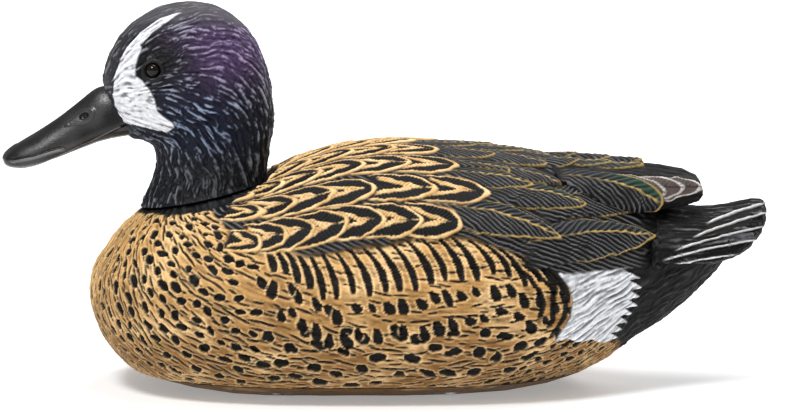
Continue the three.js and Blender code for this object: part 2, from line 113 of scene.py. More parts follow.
def noise(points, cell, seed):
    """Smooth noise from 0 to 1 on a lattice of cells."""
    q = points / cell
    base = np.floor(q).astype(np.int64)
    f = q - base
    f = f * f * (3 - 2 * f)
    total = np.zeros(len(points))
    for i in (0, 1):
        for j in (0, 1):
            for k in (0, 1):
                h = (base[:, 0] + i) * 73856093 ^ (base[:, 1] + j) * 19349663 ^ (base[:, 2] + k) * 83492791
                h = (h ^ (seed * 2654435761)) & 0xFFFFFFFF
                h = (h * 2246822519) & 0xFFFFFFFF
                h ^= h >> 15
                h = (h * 3266489917) & 0xFFFFFFFF
                h ^= h >> 13
                weight = (f[:, 0] if i else 1 - f[:, 0]) * (f[:, 1] if j else 1 - f[:, 1])
                total += weight * (f[:, 2] if k else 1 - f[:, 2]) * h / 0xFFFFFFFF
    return total


def warped(points, amount, cell, seed):
    """The points, moved a little by noise."""
    moves = [noise(points, cell, seed + k) - 0.5 for k in range(3)]
    return points + 2 * amount * np.stack(moves, 1)


def streaks(points, flow, cell, reach, seed):
    """Noise drawn out along the flow, about 0 with a spread of 1."""
    total = np.zeros(len(points))
    for t in np.linspace(-reach, reach, int(2.4 * reach / cell) + 1):
        total += noise(points + t * flow, cell, seed)
    return (total - total.mean()) / total.std()


# ---- Forms from the frame ----
def node_tree(*names):
    """A ray tree of the outer surfaces of CAD nodes, in millimetres."""
    points, faces = [], []
    for name in names:
        mesh = frame["nodes"][name].data
        first = len(points)
        points += [v.co / MM for v in mesh.vertices]
        faces += [[first + i for i in p.vertices] for p in mesh.polygons]
    return BVHTree.FromPolygons(points, faces)


def cast(tree, origin, direction):
    """Where a ray from outside, aimed at the origin, first meets the surface."""
    start = Vector(origin + direction * FAR)
    hit = tree.ray_cast(start, Vector(-direction), FAR)
    return np.array(hit[0]) if hit[0] is not None else None


def spaced(line, count):
    """The same line with points at even distances."""
    steps = np.linalg.norm(np.diff(line, axis=0), axis=1)
    along = np.concatenate([[0], np.cumsum(steps)])
    want = np.linspace(0, along[-1], count)
    return np.stack([np.interp(want, along, line[:, k]) for k in range(3)], 1)


def soften(grid, rounds):
    """A light blur along the rows and columns that keeps the outer edges where they are."""
    for _ in range(rounds):
        inner = grid.copy()
        inner[:, 1:-1] = 0.25 * grid[:, :-2] + 0.5 * grid[:, 1:-1] + 0.25 * grid[:, 2:]
        grid = inner
        inner = grid.copy()
        inner[1:-1] = 0.25 * grid[:-2] + 0.5 * grid[1:-1] + 0.25 * grid[2:]
        grid = inner
    return grid


def finer(grid, count, axis):
    """The grid with more points along one axis, on a smooth curve through the old ones."""
    grid = np.moveaxis(grid, axis, 0)
    old = len(grid)
    t = np.linspace(0, old - 1, count)
    i = np.minimum(t.astype(int), old - 2)
    f = (t - i)[:, None, None]
    p = [grid[np.clip(i + k, 0, old - 1)] for k in (-1, 0, 1, 2)]
    curve = p[1] + 0.5 * f * (
        p[2] - p[0] + f * (2 * p[0] - 5 * p[1] + 4 * p[2] - p[3] + f * (3 * (p[1] - p[2]) + p[3] - p[0]))
    )
    return np.moveaxis(curve, 0, axis)


def refined(grid, columns, rows):
    """The grid with this many columns and rows."""
    return finer(finer(grid, columns, 0), rows, 1)


def grid_normals(grid, centre):
    """Outward normals, kept in the middle plane along the seam of a half form."""
    across = np.gradient(grid, axis=0)
    down = np.gradient(grid, axis=1)
    normals = np.cross(across, down)
    normals[:, 0] = np.where(collapsed(grid[:, 0]), normals[:, 1], normals[:, 0])
    normals[:, -1] = np.where(collapsed(grid[:, -1]), normals[:, -2], normals[:, -1])
    normals[np.abs(grid[..., 1]) < 1e-6, 1] = 0
    normals = unit(normals)
    outward = ((grid - centre) * normals).sum(-1)
    return normals if outward.mean() > 0 else -normals


def collapsed(line):
    """Marks the points of a line that lie on one another."""
    step = np.linalg.norm(np.gradient(line, axis=0), axis=1)
    return (step < 1e-4)[:, None]


class Skin:
    """Half of a form, as a grid of columns by rows, with what is pressed and painted on it."""

    def __init__(self, grid, paint, centre=(0, 0, 60)):
        self.shape = grid.shape[:2]
        self.centre = np.array(centre, float)
        self.points = grid.reshape(-1, 3)
        self.normals = grid_normals(grid, self.centre).reshape(-1, 3)
        steps = np.linalg.norm(np.diff(grid, axis=1), axis=2)
        down = np.concatenate([np.zeros((len(grid), 1)), np.cumsum(steps, axis=1)], axis=1)
        self.down = down.reshape(-1)  # distance from the first row, along the form
        self.height = np.zeros(len(self.points))
        self.paint = np.tile(np.asarray(paint, float), (len(self.points), 1))
        self.gloss = np.zeros(len(self.points))

    def tangent(self, vectors):
        """The vectors laid onto the surface."""
        flat = vectors - (vectors * self.normals).sum(1, keepdims=True) * self.normals
        return unit(flat)

    def at_side(self, x, z):
        """The point that is seen at x, z from the left."""
        gap = (self.points[:, 0] - x) ** 2 + (self.points[:, 2] - z) ** 2 + 30 * (self.normals[:, 1] > 0)
        return int(np.argmin(gap))

    def at_chart(self, x, down):
        """The point at x, at a distance down from the first row."""
        return int(np.argmin((self.points[:, 0] - x) ** 2 + (self.down - down) ** 2))

    def patch(self, centre, direction, reach):
        """The points near a place, with how far each is along the direction and across it."""
        rel = self.points - self.points[centre]
        normal = self.normals[centre]
        near = np.nonzero((np.abs(rel) < reach).all(1) & (self.normals @ normal > 0))[0]
        rel = rel[near]
        along = unit(direction - direction.dot(normal) * normal)
        across = np.cross(normal, along)
        return near, rel @ along, rel @ across

    def rake(self, x, y, z):
        """One direction, laid onto the surface at every point."""
        return self.tangent(np.tile([x, y, z], (len(self.points), 1)))

    def coat(self, colour, share):
        self.paint = mix(self.paint, colour, share)

    def paint_on(self, ids, colour, share):
        self.paint[ids] = mix(self.paint[ids], colour, share)


# ---- Sections that the skins are cast on ----
def box_mm(node):
    low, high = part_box(node)
    return np.array(low) / MM, np.array(high) / MM


def fan(column_count, start, end):
    """Outward directions, turning about the vertical: 180 is forwards, 90 the left side and 0 rearwards."""
    for turn in np.radians(np.linspace(start, end, column_count)):
        yield np.array([math.cos(turn), -math.sin(turn), 0.0])


def section(tree, origin, outward, up, angles):
    """The form's outline in the half plane through the origin that holds up and outward."""
    found = []
    for angle in np.radians(angles):
        hit = cast(tree, origin, math.cos(angle) * up + math.sin(angle) * outward)
        if hit is not None:
            found.append(hit)
    return np.array(found)


def cut_at(line, level):
    """The part of a falling line above a level, ending on it; the whole line if it stays above."""
    below = line[:, 2] < level
    if not below.any():
        return line
    i = int(np.argmax(below))
    a, b = line[i - 1], line[i]
    return np.vstack([line[:i], a + (b - a) * (a[2] - level) / (a[2] - b[2])])


def middle_of(node, x):
    """The middle of a node's section near x."""
    points = np.array([v.co for v in frame["nodes"][node].data.vertices]) / MM
    tree = node_tree(node)
    low, high = points.min(0), points.max(0)
    found = []
    for y in np.linspace(low[1] + 0.5, high[1] - 0.5, 25):
        top = tree.ray_cast(Vector((x, y, high[2] + 5)), Vector((0, 0, -1)))[0]
        under = tree.ray_cast(Vector((x, y, low[2] - 5)), Vector((0, 0, 1)))[0]
        if top is not None and under is not None:
            found.append((x, y, (top[2] + under[2]) / 2))
    return np.array(found).mean(0)


def body_grids():
    """The shell from the middle of the back down to the hull joint, and the hull's side below it."""
    tree = node_tree("body_shell", "hull_pan", "neck_bushing", "neck_seal", "lock_nut")
    low, high = box_mm("body_shell")
    front, rear = low[0] + 60 * SCALE, high[0] - 71.5 * SCALE
    spines = [(front, out) for out in fan(33, 180, 90)]
    spines += [(x, LEFT) for x in np.linspace(front, rear, 49)[1:-1]]
    spines += [(rear, out) for out in fan(31, 90, 0)]
    joint, rim = low[2], low[2] - 0.35 * SCALE
    shell, side = [], []
    for x, outward in spines:
        middle = 45 + 7 * smooth(0, rear, x)
        line = section(tree, np.array([x, 0, middle]), outward, UP, np.arange(0, 178, 2))
        shell.append(spaced(cut_at(line, joint), 64))
        below = cut_at(line, 0.12)
        under = np.vstack([cut_at(line, rim)[-1:], below[below[:, 2] < rim]])
        side.append(spaced(under, 12))
    columns = int(337 * SCALE / CELL)
    shell = refined(soften(np.array(shell), 2), columns, int(138 * SCALE / CELL))
    side = refined(soften(np.array(side), 2), columns, int(24 / CELL))
    for grid in (shell, side):
        grid[0, :, 1] = grid[-1, :, 1] = 0
    shell[:, 0, 1] = 0
    shell[:, -1, 2] = joint
    side[:, 0, 2] = rim
    return shell, side


def neck_frame():
    """The swivel's centre and axis, and the direction across it that points to the rear."""
    swivel = next(j for j in frame["joints"] if j["name"] == "head_swivel")
    axis = unit(np.array(swivel["axis"], float))
    return np.array(swivel["pos_m"]) / MM, axis, np.array([axis[2], 0, -axis[0]])


HEAD_ANGLES = np.radians(np.arange(0, 156, 2.5))  # from the crown, about the head's middle


def head_rays(tree, centre, axis, back):
    """The head's middle, and for each column its direction, its radii and which of them are known.

    A radius under the bill or an eye isn't known, and is bridged later.
    """
    holes = node_tree("upper_bill", "lower_bill", "left_eye")
    middle = centre + axis * 46 * SCALE + back * 5 * SCALE
    columns = []
    for turn in np.radians(np.linspace(180, 0, 61)):
        outward = math.cos(turn) * back + math.sin(turn) * LEFT
        line, known = [], []
        for angle in HEAD_ANGLES:
            direction = math.cos(angle) * axis + math.sin(angle) * outward
            hit = cast(tree, middle, direction)
            bridged = holes.ray_cast(Vector(middle + direction * FAR), Vector(-direction), FAR - 8)[0]
            if hit is None:
                line.append(30.0)
                known.append(False)
                continue
            if (hit - centre).dot(axis) < 13:
                break
            line.append(np.linalg.norm(hit - middle))
            known.append(bridged is None)
        columns.append((outward, line, known))
    return middle, columns


def bridged_radii(radii, known):
    """Radii with the unknown ones filled in smoothly from round about."""
    filled = np.where(known, radii, radii[known].mean())
    for _ in range(600):
        spread = filled.copy()
        across = filled[2:, 1:-1] + filled[:-2, 1:-1]
        spread[1:-1, 1:-1] = 0.25 * (across + filled[1:-1, 2:] + filled[1:-1, :-2])
        spread[0, 1:-1] = (2 * filled[1, 1:-1] + filled[0, 2:] + filled[0, :-2]) / 4
        filled = np.where(known, radii, spread)
    return filled


def head_grid():
    """The head from its crown down to the neck joint, bridged over the bill and the eyes."""
    centre, axis, back = neck_frame()
    tree = node_tree("head_shell")
    middle, columns = head_rays(tree, centre, axis, back)
    rows = max(len(line) for _, line, _ in columns)
    radii = np.zeros((len(columns), rows))
    known = np.ones((len(columns), rows), bool)
    for k, (_, line, fixed) in enumerate(columns):
        radii[k, : len(line)] = line
        radii[k, len(line):] = line[-1]
        known[k, : len(line)] = fixed
    radii = bridged_radii(radii, known)
    grid = []
    for k, (outward, line, _) in enumerate(columns):
        count = len(line)
        angles = HEAD_ANGLES[:count, None]
        rays = np.cos(angles) * axis + np.sin(angles) * outward
        upper = middle + rays * radii[k, :count, None]
        neck = [cast(tree, centre + axis * h, outward) for h in np.arange(12, 0.2, -1.2)]
        neck.append(cast(tree, centre + axis * 0.4, outward))
        grid.append(spaced(np.vstack([upper, neck]), 110))
    grid = soften(np.array(grid), 3)
    grid = refined(grid, int(98 * SCALE / HEAD_CELL), int(125 * SCALE / HEAD_CELL))
    grid[0, :, 1] = grid[-1, :, 1] = 0
    return grid


def bill_grid(node, stations, tip, lean):
    """A bill piece: sections square to a leaning line, then a fan round the tip."""
    tree = node_tree(node)
    along = np.array([math.cos(lean), 0, math.sin(lean)])
    up = np.array([-along[2], 0, along[0]])
    lines = []
    angles = np.arange(0, 181, 6)
    for x, z in stations:
        lines.append(section(tree, np.array([x, 0, z]), LEFT, up, angles))
    for turn in np.radians(np.linspace(90, 0, 12))[1:]:
        outward = math.sin(turn) * LEFT - math.cos(turn) * along
        lines.append(section(tree, np.array([tip[0], 0, tip[1]]), outward, up, angles))
    return refined(soften(np.array([spaced(line, 40) for line in lines]), 4), 190, 130)


def ring_grid(node, stations):
    """A closed piece that lies along the length: rings that open at the root and close at the tip."""
    tree = node_tree(node)
    along = np.array([1.0, 0, 0])
    lines = []

    def ring(origin, turn):
        found = []
        for angle in np.radians(np.arange(0, 361, 6)):
            square = math.cos(angle) * UP + math.sin(angle) * LEFT
            hit = cast(tree, origin, math.sin(turn) * square + math.cos(turn) * along)
            found.append(found[-1] if hit is None else hit)
        return spaced(np.array(found), 62)

    for turn in np.radians((176, 160, 140, 120)):
        lines.append(ring(stations[0], turn))
    for station in stations:
        lines.append(ring(station, math.pi / 2))
    for turn in np.radians(np.linspace(90, 4, 10))[1:]:
        lines.append(ring(stations[-1], turn))
    return np.array(lines)


def tail_grid(low, high):
    """The tail from the middle of its top round to the middle of its underside."""
    tree = node_tree("tail_fan")
    front, rear = low[0] + 7 * SCALE, high[0] - 16 * SCALE
    spines = [(front, out) for out in fan(9, 176, 90)]
    spines += [(x, LEFT) for x in np.linspace(front, rear, 24)[1:-1]]
    spines += [(rear, out) for out in fan(25, 90, 0)]
    lines = []
    for x, outward in spines:
        origin = np.array([x, 0, middle_of("tail_fan", x)[2]])
        line = section(tree, origin, outward, UP, np.arange(0, 181, 3))
        lines.append(spaced(line, 60))
    grid = refined(np.array(lines), 190, 190)
    grid[-1, :, 1] = 0
    grid[:, 0, 1] = grid[:, -1, 1] = 0
    return grid


# ---- What feathers are made of ----
TAN = srgb(198, 154, 94)
TAN_LIGHT = srgb(238, 204, 152)
TAN_DEEP = srgb(132, 94, 50)
INK = srgb(11, 10, 10)
INK_BROWN = srgb(42, 32, 23)
CHARCOAL = srgb(38, 39, 42)
CHARCOAL_LIGHT = srgb(122, 122, 122)
GOLD = srgb(196, 164, 96)
GREEN = srgb(40, 72, 56)
WHITE = srgb(226, 228, 232)
BROWN = srgb(112, 98, 92)
PALE_EDGE = srgb(214, 208, 204)


WIDEST = 0.45  # how far along a feather is at its full width
BARB_SLANT = 29  # degrees, on the dark feathers
BACK_PERIOD = 1.85  # between their barbs
SHAFT_OFFSET = 0.3  # of their half width


class Feather:
    """One feather's own frame: how far along, how far across, and how far in from its edge."""

    def __init__(self, skin, root, tip, width, point, bend=0.0):
        base, end = skin.points[root], skin.points[tip]
        middle = int(np.argmin(((skin.points - (base + end) / 2) ** 2).sum(1)))
        self.length = np.linalg.norm(end - base)
        self.width = width
        ids, a, b = skin.patch(middle, end - base, 0.5 * self.length + width + 1)
        a = a + 1.3 * (noise(skin.points[ids], 3.3, 15 + root % 97) - 0.5)
        b = b + 1.3 * (noise(skin.points[ids], 3.3, 16 + root % 97) - 0.5)
        share = a / self.length + 0.5
        b = b - bend * 4 * share * (1 - share)
        ahead = np.clip((share - WIDEST) / (1 - WIDEST), 0, None)
        level = (ahead**point + (np.abs(b) / width) ** point) ** (1 / point)
        inside = (level < 1.15) & (share > 0)
        self.skin, self.ids = skin, ids[inside]
        self.a, self.b, self.level = share[inside], b[inside], level[inside]
        self.edge = (1 - self.level) * width
        across = np.cross(skin.normals[middle], end - base)
        self.up = -1 if across[2] > 0 else 1  # -1 where a bigger b is higher up
        self.cover = smooth(-0.1, 0.35, self.edge) * smooth(0.0, 0.12, self.a)

    def press(self, lift, crown):
        """Lays the feather over what is below it, thickest at its tip."""
        rise = lift * (0.15 + 0.85 * self.a) + crown * (1 - np.clip(self.b / self.width, -1, 1) ** 2)
        rise -= 0.5 * lift * smooth(0.9, 0, self.edge)
        self.skin.height[self.ids] = self.skin.height[self.ids] * (1 - self.cover) + rise * self.cover

    def add(self, height):
        self.skin.height[self.ids] += height * self.cover

    def colour(self, colour, share=1.0):
        self.skin.paint_on(self.ids, colour, np.clip(share, 0, 1) * self.cover)

    def barbs(self, period, slant):
        """Waves from -1 to 1 that run out from the shaft at a slant."""
        along = self.a * self.length * math.sin(math.radians(slant))
        return np.cos(2 * math.pi * (along - np.abs(self.b) * math.cos(math.radians(slant))) / period)


def scapular(feather, seed):
    """A tan edge, a dark barbed band, and a tan arrowhead with a dark heart."""
    where = feather.skin.points[feather.ids]
    waver = (noise(where, 2.2, seed) - 0.5) * 0.9
    feather.press(1.1, 0.5)
    comb = feather.barbs(1.35, 48)
    feather.colour(INK)
    feather.colour(CHARCOAL, 0.7 * smooth(0.3, 1.0, comb))
    feather.add(0.22 * comb * smooth(0.8, 1.6, feather.edge))
    rim = smooth(1.3, 1.0, feather.edge + 0.5 * waver + 0.1 * comb)
    tone = mix(TAN, TAN_LIGHT, noise(where, 3, seed + 9))
    feather.colour(tone, rim)
    feather.add(0.3 * rim)
    arrow = (feather.a - 0.26) / 0.54 + np.abs(feather.b) / (0.6 * feather.width) + 0.22 * waver + 0.03 * comb
    gap = smooth(0.5, 0.58, arrow) * smooth(1.04, 0.96, arrow) * smooth(0.12, 0.2, feather.a)
    feather.colour(tone, gap)
    feather.add(0.34 * gap)
    heart = smooth(0.6, 0.66, feather.a) * smooth(0.84, 0.78, feather.a)
    spine = smooth(0.3, 0.15, np.abs(feather.b)) * heart
    feather.colour(INK_BROWN, 0.8 * spine)
    point = smooth(0.5, 0.3, np.abs(feather.b)) * smooth(0.8, 0.84, feather.a)
    feather.colour(tone, point * (seed % 2))


def tertial(feather, seed, green=0.0, gold=1.0):
    """A charcoal feather with raised barbs, a thin gold edge and, on some, a green sheen."""
    where = feather.skin.points[feather.ids]
    feather.press(1.3, 0.7)
    feather.b = feather.b + SHAFT_OFFSET * feather.width * feather.up * smooth(0, 0.5, 1 - feather.a)
    comb = feather.barbs(BACK_PERIOD, BARB_SLANT)
    feather.colour(CHARCOAL * 0.75)
    feather.colour(INK * 0.7, smooth(0.4, -0.4, comb))
    feather.colour(CHARCOAL_LIGHT, smooth(0.5, 1.0, comb) * (0.25 + 0.75 * noise(where, 4, seed)))
    feather.add(0.26 * comb * smooth(0.3, 1.2, feather.edge))
    upper = -feather.b * feather.up
    feather.colour(CHARCOAL * 1.5, 0.6 * smooth(0.2, 1.5, upper))
    tint = green * smooth(0.25, 0.8, feather.a) * smooth(-1, 2, upper)
    feather.colour(GREEN, 0.75 * tint)
    worn = feather.a + 0.4 * noise(where, 6, seed + 2) - 0.1
    rim = smooth(0.65, 0.35, feather.edge) * smooth(0.3, 0.6, worn)
    feather.colour(GOLD, gold * rim)
    feather.add(0.15 * rim)
    shaft = smooth(0.5, 0.2, np.abs(feather.b))
    fade = (0.25 + 0.65 * smooth(0.3, 0.6, feather.a)) * smooth(1.0, 0.85, feather.a)
    feather.colour(GOLD, gold * shaft * fade)
    feather.add(0.2 * shaft)


def primary(feather, seed):
    """A brown flight feather with a pale edge line set in from its rim."""
    where = feather.skin.points[feather.ids]
    feather.press(1.0, 0.3)
    comb = feather.barbs(1.3, 42)
    feather.colour(mix(BROWN, INK, 0.15 + 0.4 * noise(where, 2.5, seed)))
    feather.colour(INK, 0.6 * smooth(0.3, 0.9, comb) * smooth(0.2, 0.6, noise(where, 5, seed + 3)))
    feather.colour(INK, smooth(0.3, 0.1, feather.edge))
    feather.add(0.12 * comb)
    line = smooth(0.1, 0.2, feather.edge) * smooth(0.72, 0.55, feather.edge) * smooth(0.45, 0.7, feather.a)
    feather.colour(PALE_EDGE, 0.9 * line)
    feather.add(0.12 * line)
    shaft = smooth(0.4, 0.2, np.abs(feather.b))
    feather.colour(INK, 0.6 * shaft)


# ---- The body ----
def body_flow(points):
    """Which way the feathers run: away from the neck, then to the rear."""
    away = points - np.array([-84.0, 0, 86]) * SCALE
    far = np.linalg.norm(away, axis=1, keepdims=True)
    near = np.exp(-((far / (95 * SCALE)) ** 2))
    rearward = 0.25 + 0.75 * smooth(-118, -60, points[:, :1])
    return rearward * np.array([1.0, 0, 0]) + 2.2 * near * away / far


# Where the dark back meets the tan flank, x then z, and the side pocket's round rear edge, z then x.
BACK_EDGE = np.array([(-95, 98), (-84, 90), (-74, 80), (-62, 71.5), (-45, 68), (-32, 66), (-20, 68),
                      (0, 70.5), (12, 73), (26, 74.5), (39, 72), (52, 67.5), (65, 62.5), (76, 55.5)]) * SCALE
POCKET_EDGE = np.array([(0, 36), (11.6, 52.5), (19.3, 62.5), (28.3, 73.3), (37, 78.9), (44, 79.8), (50, 78.4),
                        (56.3, 73.7), (63, 64)]) * SCALE
# The white patch's rear edge, z then x.
WHITE_EDGE = np.array([(20, 94), (23.3, 98.4), (30.3, 101.9), (39.7, 107), (48.8, 108.8), (63.4, 100.6),
                       (70, 96)]) * SCALE


def body_regions(skin):
    """How far each point is behind the pocket, and its shares of back, white patch, vent and dark rump."""
    x, z = skin.points[:, 0], skin.points[:, 2]
    ragged = 2.2 * (noise(skin.points, 3.2, 41) - 0.5)
    back = smooth(-0.8, 0.8, z + ragged - np.interp(x, BACK_EDGE[:, 0], BACK_EDGE[:, 1]))
    back *= smooth(114, 106, x)
    behind = x - np.interp(z, POCKET_EDGE[:, 0], POCKET_EDGE[:, 1])
    saw = np.abs(((z + 0.3 * x) / (4.3 * SCALE)) % 1 - 0.5) * 2
    white_end = np.interp(z, WHITE_EDGE[:, 0], WHITE_EDGE[:, 1]) - 5.2 * saw + 1.6
    floor_line = 27.5 - 0.2 * (x - 73) + 0.7 * np.sin(x / 1.7)
    rear = smooth(0, 0.5, x - white_end)
    ceiling = 56.3 + 0.26 * (x - 73.7)
    past = smooth(-0.3, 0.4, behind)
    white = past * (1 - rear) * smooth(-0.5, 0.5, z - floor_line) * smooth(0.5, -0.5, z - ceiling)
    vent = past * smooth(0.5, -0.5, z - floor_line) * smooth(103, 98, x + 0.6 * ragged)
    dark = np.clip(past - white - vent, 0, 1)
    return back, behind, white, vent, dark


def paint_tan(skin, flow):
    """The golden ground, darker towards the bottom in painted shade, with its fine grain and short dark
    dashes.
    """
    z = skin.points[:, 2]
    mottle = noise(warped(skin.points, 3, 9, 3), 11, 4)
    # Deep tan low down and tan higher up: painted shade, darker towards the bottom.
    skin.paint = mix(TAN_DEEP, TAN, smooth(8, 70, z + 30 * (mottle - 0.5)))
    skin.coat(TAN_LIGHT, 0.5 * smooth(0.5, 0.85, mottle))
    grain = streaks(skin.points, flow, 0.75, 3.5, 11)
    skin.coat(TAN_DEEP, 0.45 * smooth(0.2, 1.6, grain))
    skin.height -= 0.12 * grain
    clumps = streaks(warped(skin.points, 1.2, 8, 14), flow, 2.4, 5, 17)
    skin.coat(TAN_DEEP * 0.75, 0.4 * smooth(0.6, 2.0, clumps))
    skin.height -= 0.14 * clumps
    glaze = streaks(warped(skin.points, 0.8, 5, 90), flow, 1.1, 2.6, 12)
    skin.coat(INK_BROWN, 0.55 * smooth(1.1, 2.4, glaze))
    skin.height -= 0.15 * smooth(0.8, 2.2, glaze)


def places(skin, allowed, gap, seed, tries=5200):
    """Points scattered over the allowed area, none closer than their gap."""
    draw = np.random.default_rng(seed)
    picks = draw.choice(len(skin.points), tries, p=allowed / allowed.sum())
    kept = [picks[0]]
    for i in picks[1:]:
        if ((skin.points[kept] - skin.points[i]) ** 2).sum(1).min() > gap[i] ** 2:
            kept.append(i)
    return kept


def press_spots(skin, flow, allowed, gap, size, seed):
    """Sunken black spots, longer along the flow, with uneven outlines and a painted highlight on their raised
    rims.
    """
    draw = np.random.default_rng(seed + 1)
    for n, i in enumerate(places(skin, allowed, gap, seed)):
        length = size[i] * draw.uniform(0.8, 1.3)
        width = 0.66 * size[i] * draw.uniform(0.8, 1.2)
        turn = draw.normal(0, 0.3)
        side = np.cross(skin.normals[i], flow[i])
        direction = math.cos(turn) * flow[i] + math.sin(turn) * side
        ids, a, b = skin.patch(i, direction, 1.7 * length)
        reach = np.hypot(a / length, b / width)
        waver = (noise(skin.points[ids], 1.7, seed + n) - 0.5) * 0.5
        inside = smooth(1.1, 0.9, reach + waver)
        ridges = np.cos(2 * math.pi * a / 1.1 + n)
        skin.paint_on(ids, mix(INK, INK_BROWN, 0.3 * smooth(0.3, 1, ridges)), inside)
        # A raised rim round each spot, with a painted highlight in light tan.
        lit_lip = smooth(0.85, 1.05, reach + waver) * smooth(1.35, 1.1, reach + waver)
        skin.height[ids] += (-0.85 + 0.12 * ridges) * inside + 0.14 * lit_lip
        skin.paint_on(ids, TAN_LIGHT, 0.45 * lit_lip)


def press_dashes(skin, flow, allowed, seed):
    """Short straight cuts along the flow, black inside, with a painted highlight along their raised lips."""
    draw = np.random.default_rng(seed)
    crowd = noise(skin.points, 13, seed)
    for i in places(skin, allowed, (2.2 + 1.6 * crowd) * SCALE, seed, 4400):
        length = draw.uniform(1.5, 4.6) * SCALE
        side = np.cross(skin.normals[i], flow[i])
        turn = draw.normal(0, 0.12)
        ids, a, b = skin.patch(i, flow[i] + turn * side, length + 1.5)
        bow = b - draw.normal(0, 0.02) * a * a
        taper = 0.44 * np.sqrt(np.clip(1 - (a / length) ** 2, 0, 1))
        cut = smooth(0.2, -0.12, np.abs(bow) - taper) * (np.abs(a) < length)
        # Raised edges beside each cut, with a painted highlight in light tan.
        lit_lip = smooth(0.5, 0.0, np.abs(np.abs(bow) - taper - 0.55)) * (np.abs(a) < length)
        skin.paint_on(ids, INK, cut)
        skin.paint_on(ids, TAN_LIGHT, 0.3 * lit_lip * (1 - cut))
        skin.height[ids] += -0.45 * cut + 0.12 * lit_lip


def press_bar(skin, start, length, lean, curl, width, seed):
    """One curved black bar with comb-like sides, hanging down the flank from its start."""
    down = np.array([math.sin(lean), 0, -math.cos(lean)])
    ids, a, b = skin.patch(start, down, 1.3 * length + 3)
    share = a / length
    bow = curl * (1 - (1 - np.clip(share, 0, 1)) ** 2)
    comb = np.cos(2 * math.pi * a / 1.15)
    body = width * (0.6 + 0.55 * np.sin(math.pi * np.clip(share, 0, 1) ** 1.4)) * (1 + 0.12 * comb)
    ragged = 0.5 * (noise(skin.points[ids], 1.6, seed) - 0.5)
    beyond = np.abs(b - bow) - body
    inside = smooth(0.25, -0.25, beyond + ragged) * smooth(-0.02, 0.04, share) * smooth(1.02, 0.96, share)
    # Raised edges along the bar's sides, with a painted highlight in light tan.
    lit_lip = smooth(0.7, 0.1, np.abs(beyond - 0.5 + ragged)) * smooth(0.0, 0.1, share) * smooth(1.0, 0.94, share)
    skin.paint_on(ids, TAN_LIGHT, 0.5 * lit_lip)
    skin.paint_on(ids, mix(INK, INK_BROWN, 0.55 * smooth(0.2, 1, comb)), inside)
    skin.height[ids] += (-0.65 + 0.16 * comb) * inside + 0.12 * lit_lip


def press_pocket(skin, behind):
    """The side pocket's rounded rear: it stands over what is behind it, ringed with dark combed loops."""
    z = skin.points[:, 2]
    rise = 1.5 * smooth(0.5, -1.2, behind) * smooth(60, 52, z)
    skin.height += rise - 0.5 * smooth(-6, 0.5, behind) * (behind < 0.5)
    upper = smooth(-9, -2, behind) * smooth(46, 54, z) * (behind < 0.5)
    fray = noise(skin.points * [1, 1, 0.4], 1.5, 44)
    skin.coat(mix(INK, INK_BROWN, fray), upper * smooth(0.15, 0.5, fray + 0.4 * upper))
    for n, inset in enumerate((3.4, 8.2, 13.2)):
        wave = 0.5 * np.sin(z / 2.3 + 2 * n)
        comb = np.cos(2 * math.pi * z / 1.2)
        reach = smooth(28 + 4 * n, 31 + 4 * n, z) * smooth(63, 60, z)
        line = smooth(1.45, 1.0, np.abs(behind + inset + wave) + 0.2 * comb) * reach
        skin.coat(mix(INK, INK_BROWN, 0.4 * smooth(0.2, 1, comb)), line)
        skin.height += (-0.6 + 0.1 * comb) * line


def press_white(skin, white):
    """The white patch, with fine raked lines."""
    lines = streaks(warped(skin.points, 1.0, 7, 55), skin.rake(1.0, 0, 0.25), 0.9, 5, 56)
    tone = mix(WHITE * 0.62, WHITE, smooth(-1.3, 0.3, lines))
    skin.coat(tone, white)
    skin.height = skin.height * (1 - white) + (0.2 + 0.22 * lines) * white


def press_dark(skin, dark, seed):
    """Black rump and undertail with soft wavy strokes."""
    lines = streaks(warped(skin.points, 2.4, 6, seed), skin.rake(1.0, 0, 0.2), 1.3, 4, seed + 4)
    tone = mix(INK * 1.1, CHARCOAL * 1.2, smooth(0.3, 1.9, lines))
    skin.coat(tone, dark)
    skin.height = skin.height * (1 - dark) + (-0.2 + 0.25 * lines) * dark


SCAPULARS = [  # distance down from the middle of the back, where the tips are, length, half width
    (66, (33, 17, 1, -14, -28, -40, -51), 27, 8.6),
    (49, (45, 23, -2, -20, -36, -50), 31, 8.2),
    (32, (32, 12, -7, -25, -41, -55), 29, 7.6),
    (16, (24, 6, -12, -30, -46, -59), 26, 7.0),
    (0, (14, -4, -20, -36, -51, -63), 24, 6.2),
]
COVERTS = [  # the same for the dark feathers behind them
    (46, (62,), 30, 7.0),
    (31, (76, 54), 30, 7.0),
    (16, (92, 70, 48), 30, 7.4),
    (0, (100, 80, 60, 40), 30, 7.6),
]
TERTIALS = [  # base x, z; tip x, z; half width; sheen; bend
    ((58, 66.5), (116, 67.6), 9.4, 0.15, 1.5),
    ((62, 83.0), (121, 80.5), 9.4, 1.0, 0.5),
    ((40, 89.5), (86, 82.0), 8.4, 0.7, 0.5),
    ((14, 84.0), (75, 70.2), 8.6, 0.0, 1.0),
    ((22, 96.0), (64, 90.4), 7.2, 0.3, 0.0),
]


def chart_feather(skin, x, down, length, width, turn, point):
    """A feather whose tip is at x, at a distance down from the middle of the back."""
    tip = skin.at_chart(x * SCALE, down * SCALE)
    root_down = (down - length * math.sin(turn)) * SCALE
    root = skin.at_chart((x - length * math.cos(turn)) * SCALE, max(root_down, 0))
    return Feather(skin, root, tip, width * SCALE, point)


def side_feather(skin, base, tip, width, bend=0.0, point=1.45):
    root = skin.at_side(base[0] * SCALE, base[1] * SCALE)
    end = skin.at_side(tip[0] * SCALE, tip[1] * SCALE)
    return Feather(skin, root, end, width * SCALE, point, bend=bend)


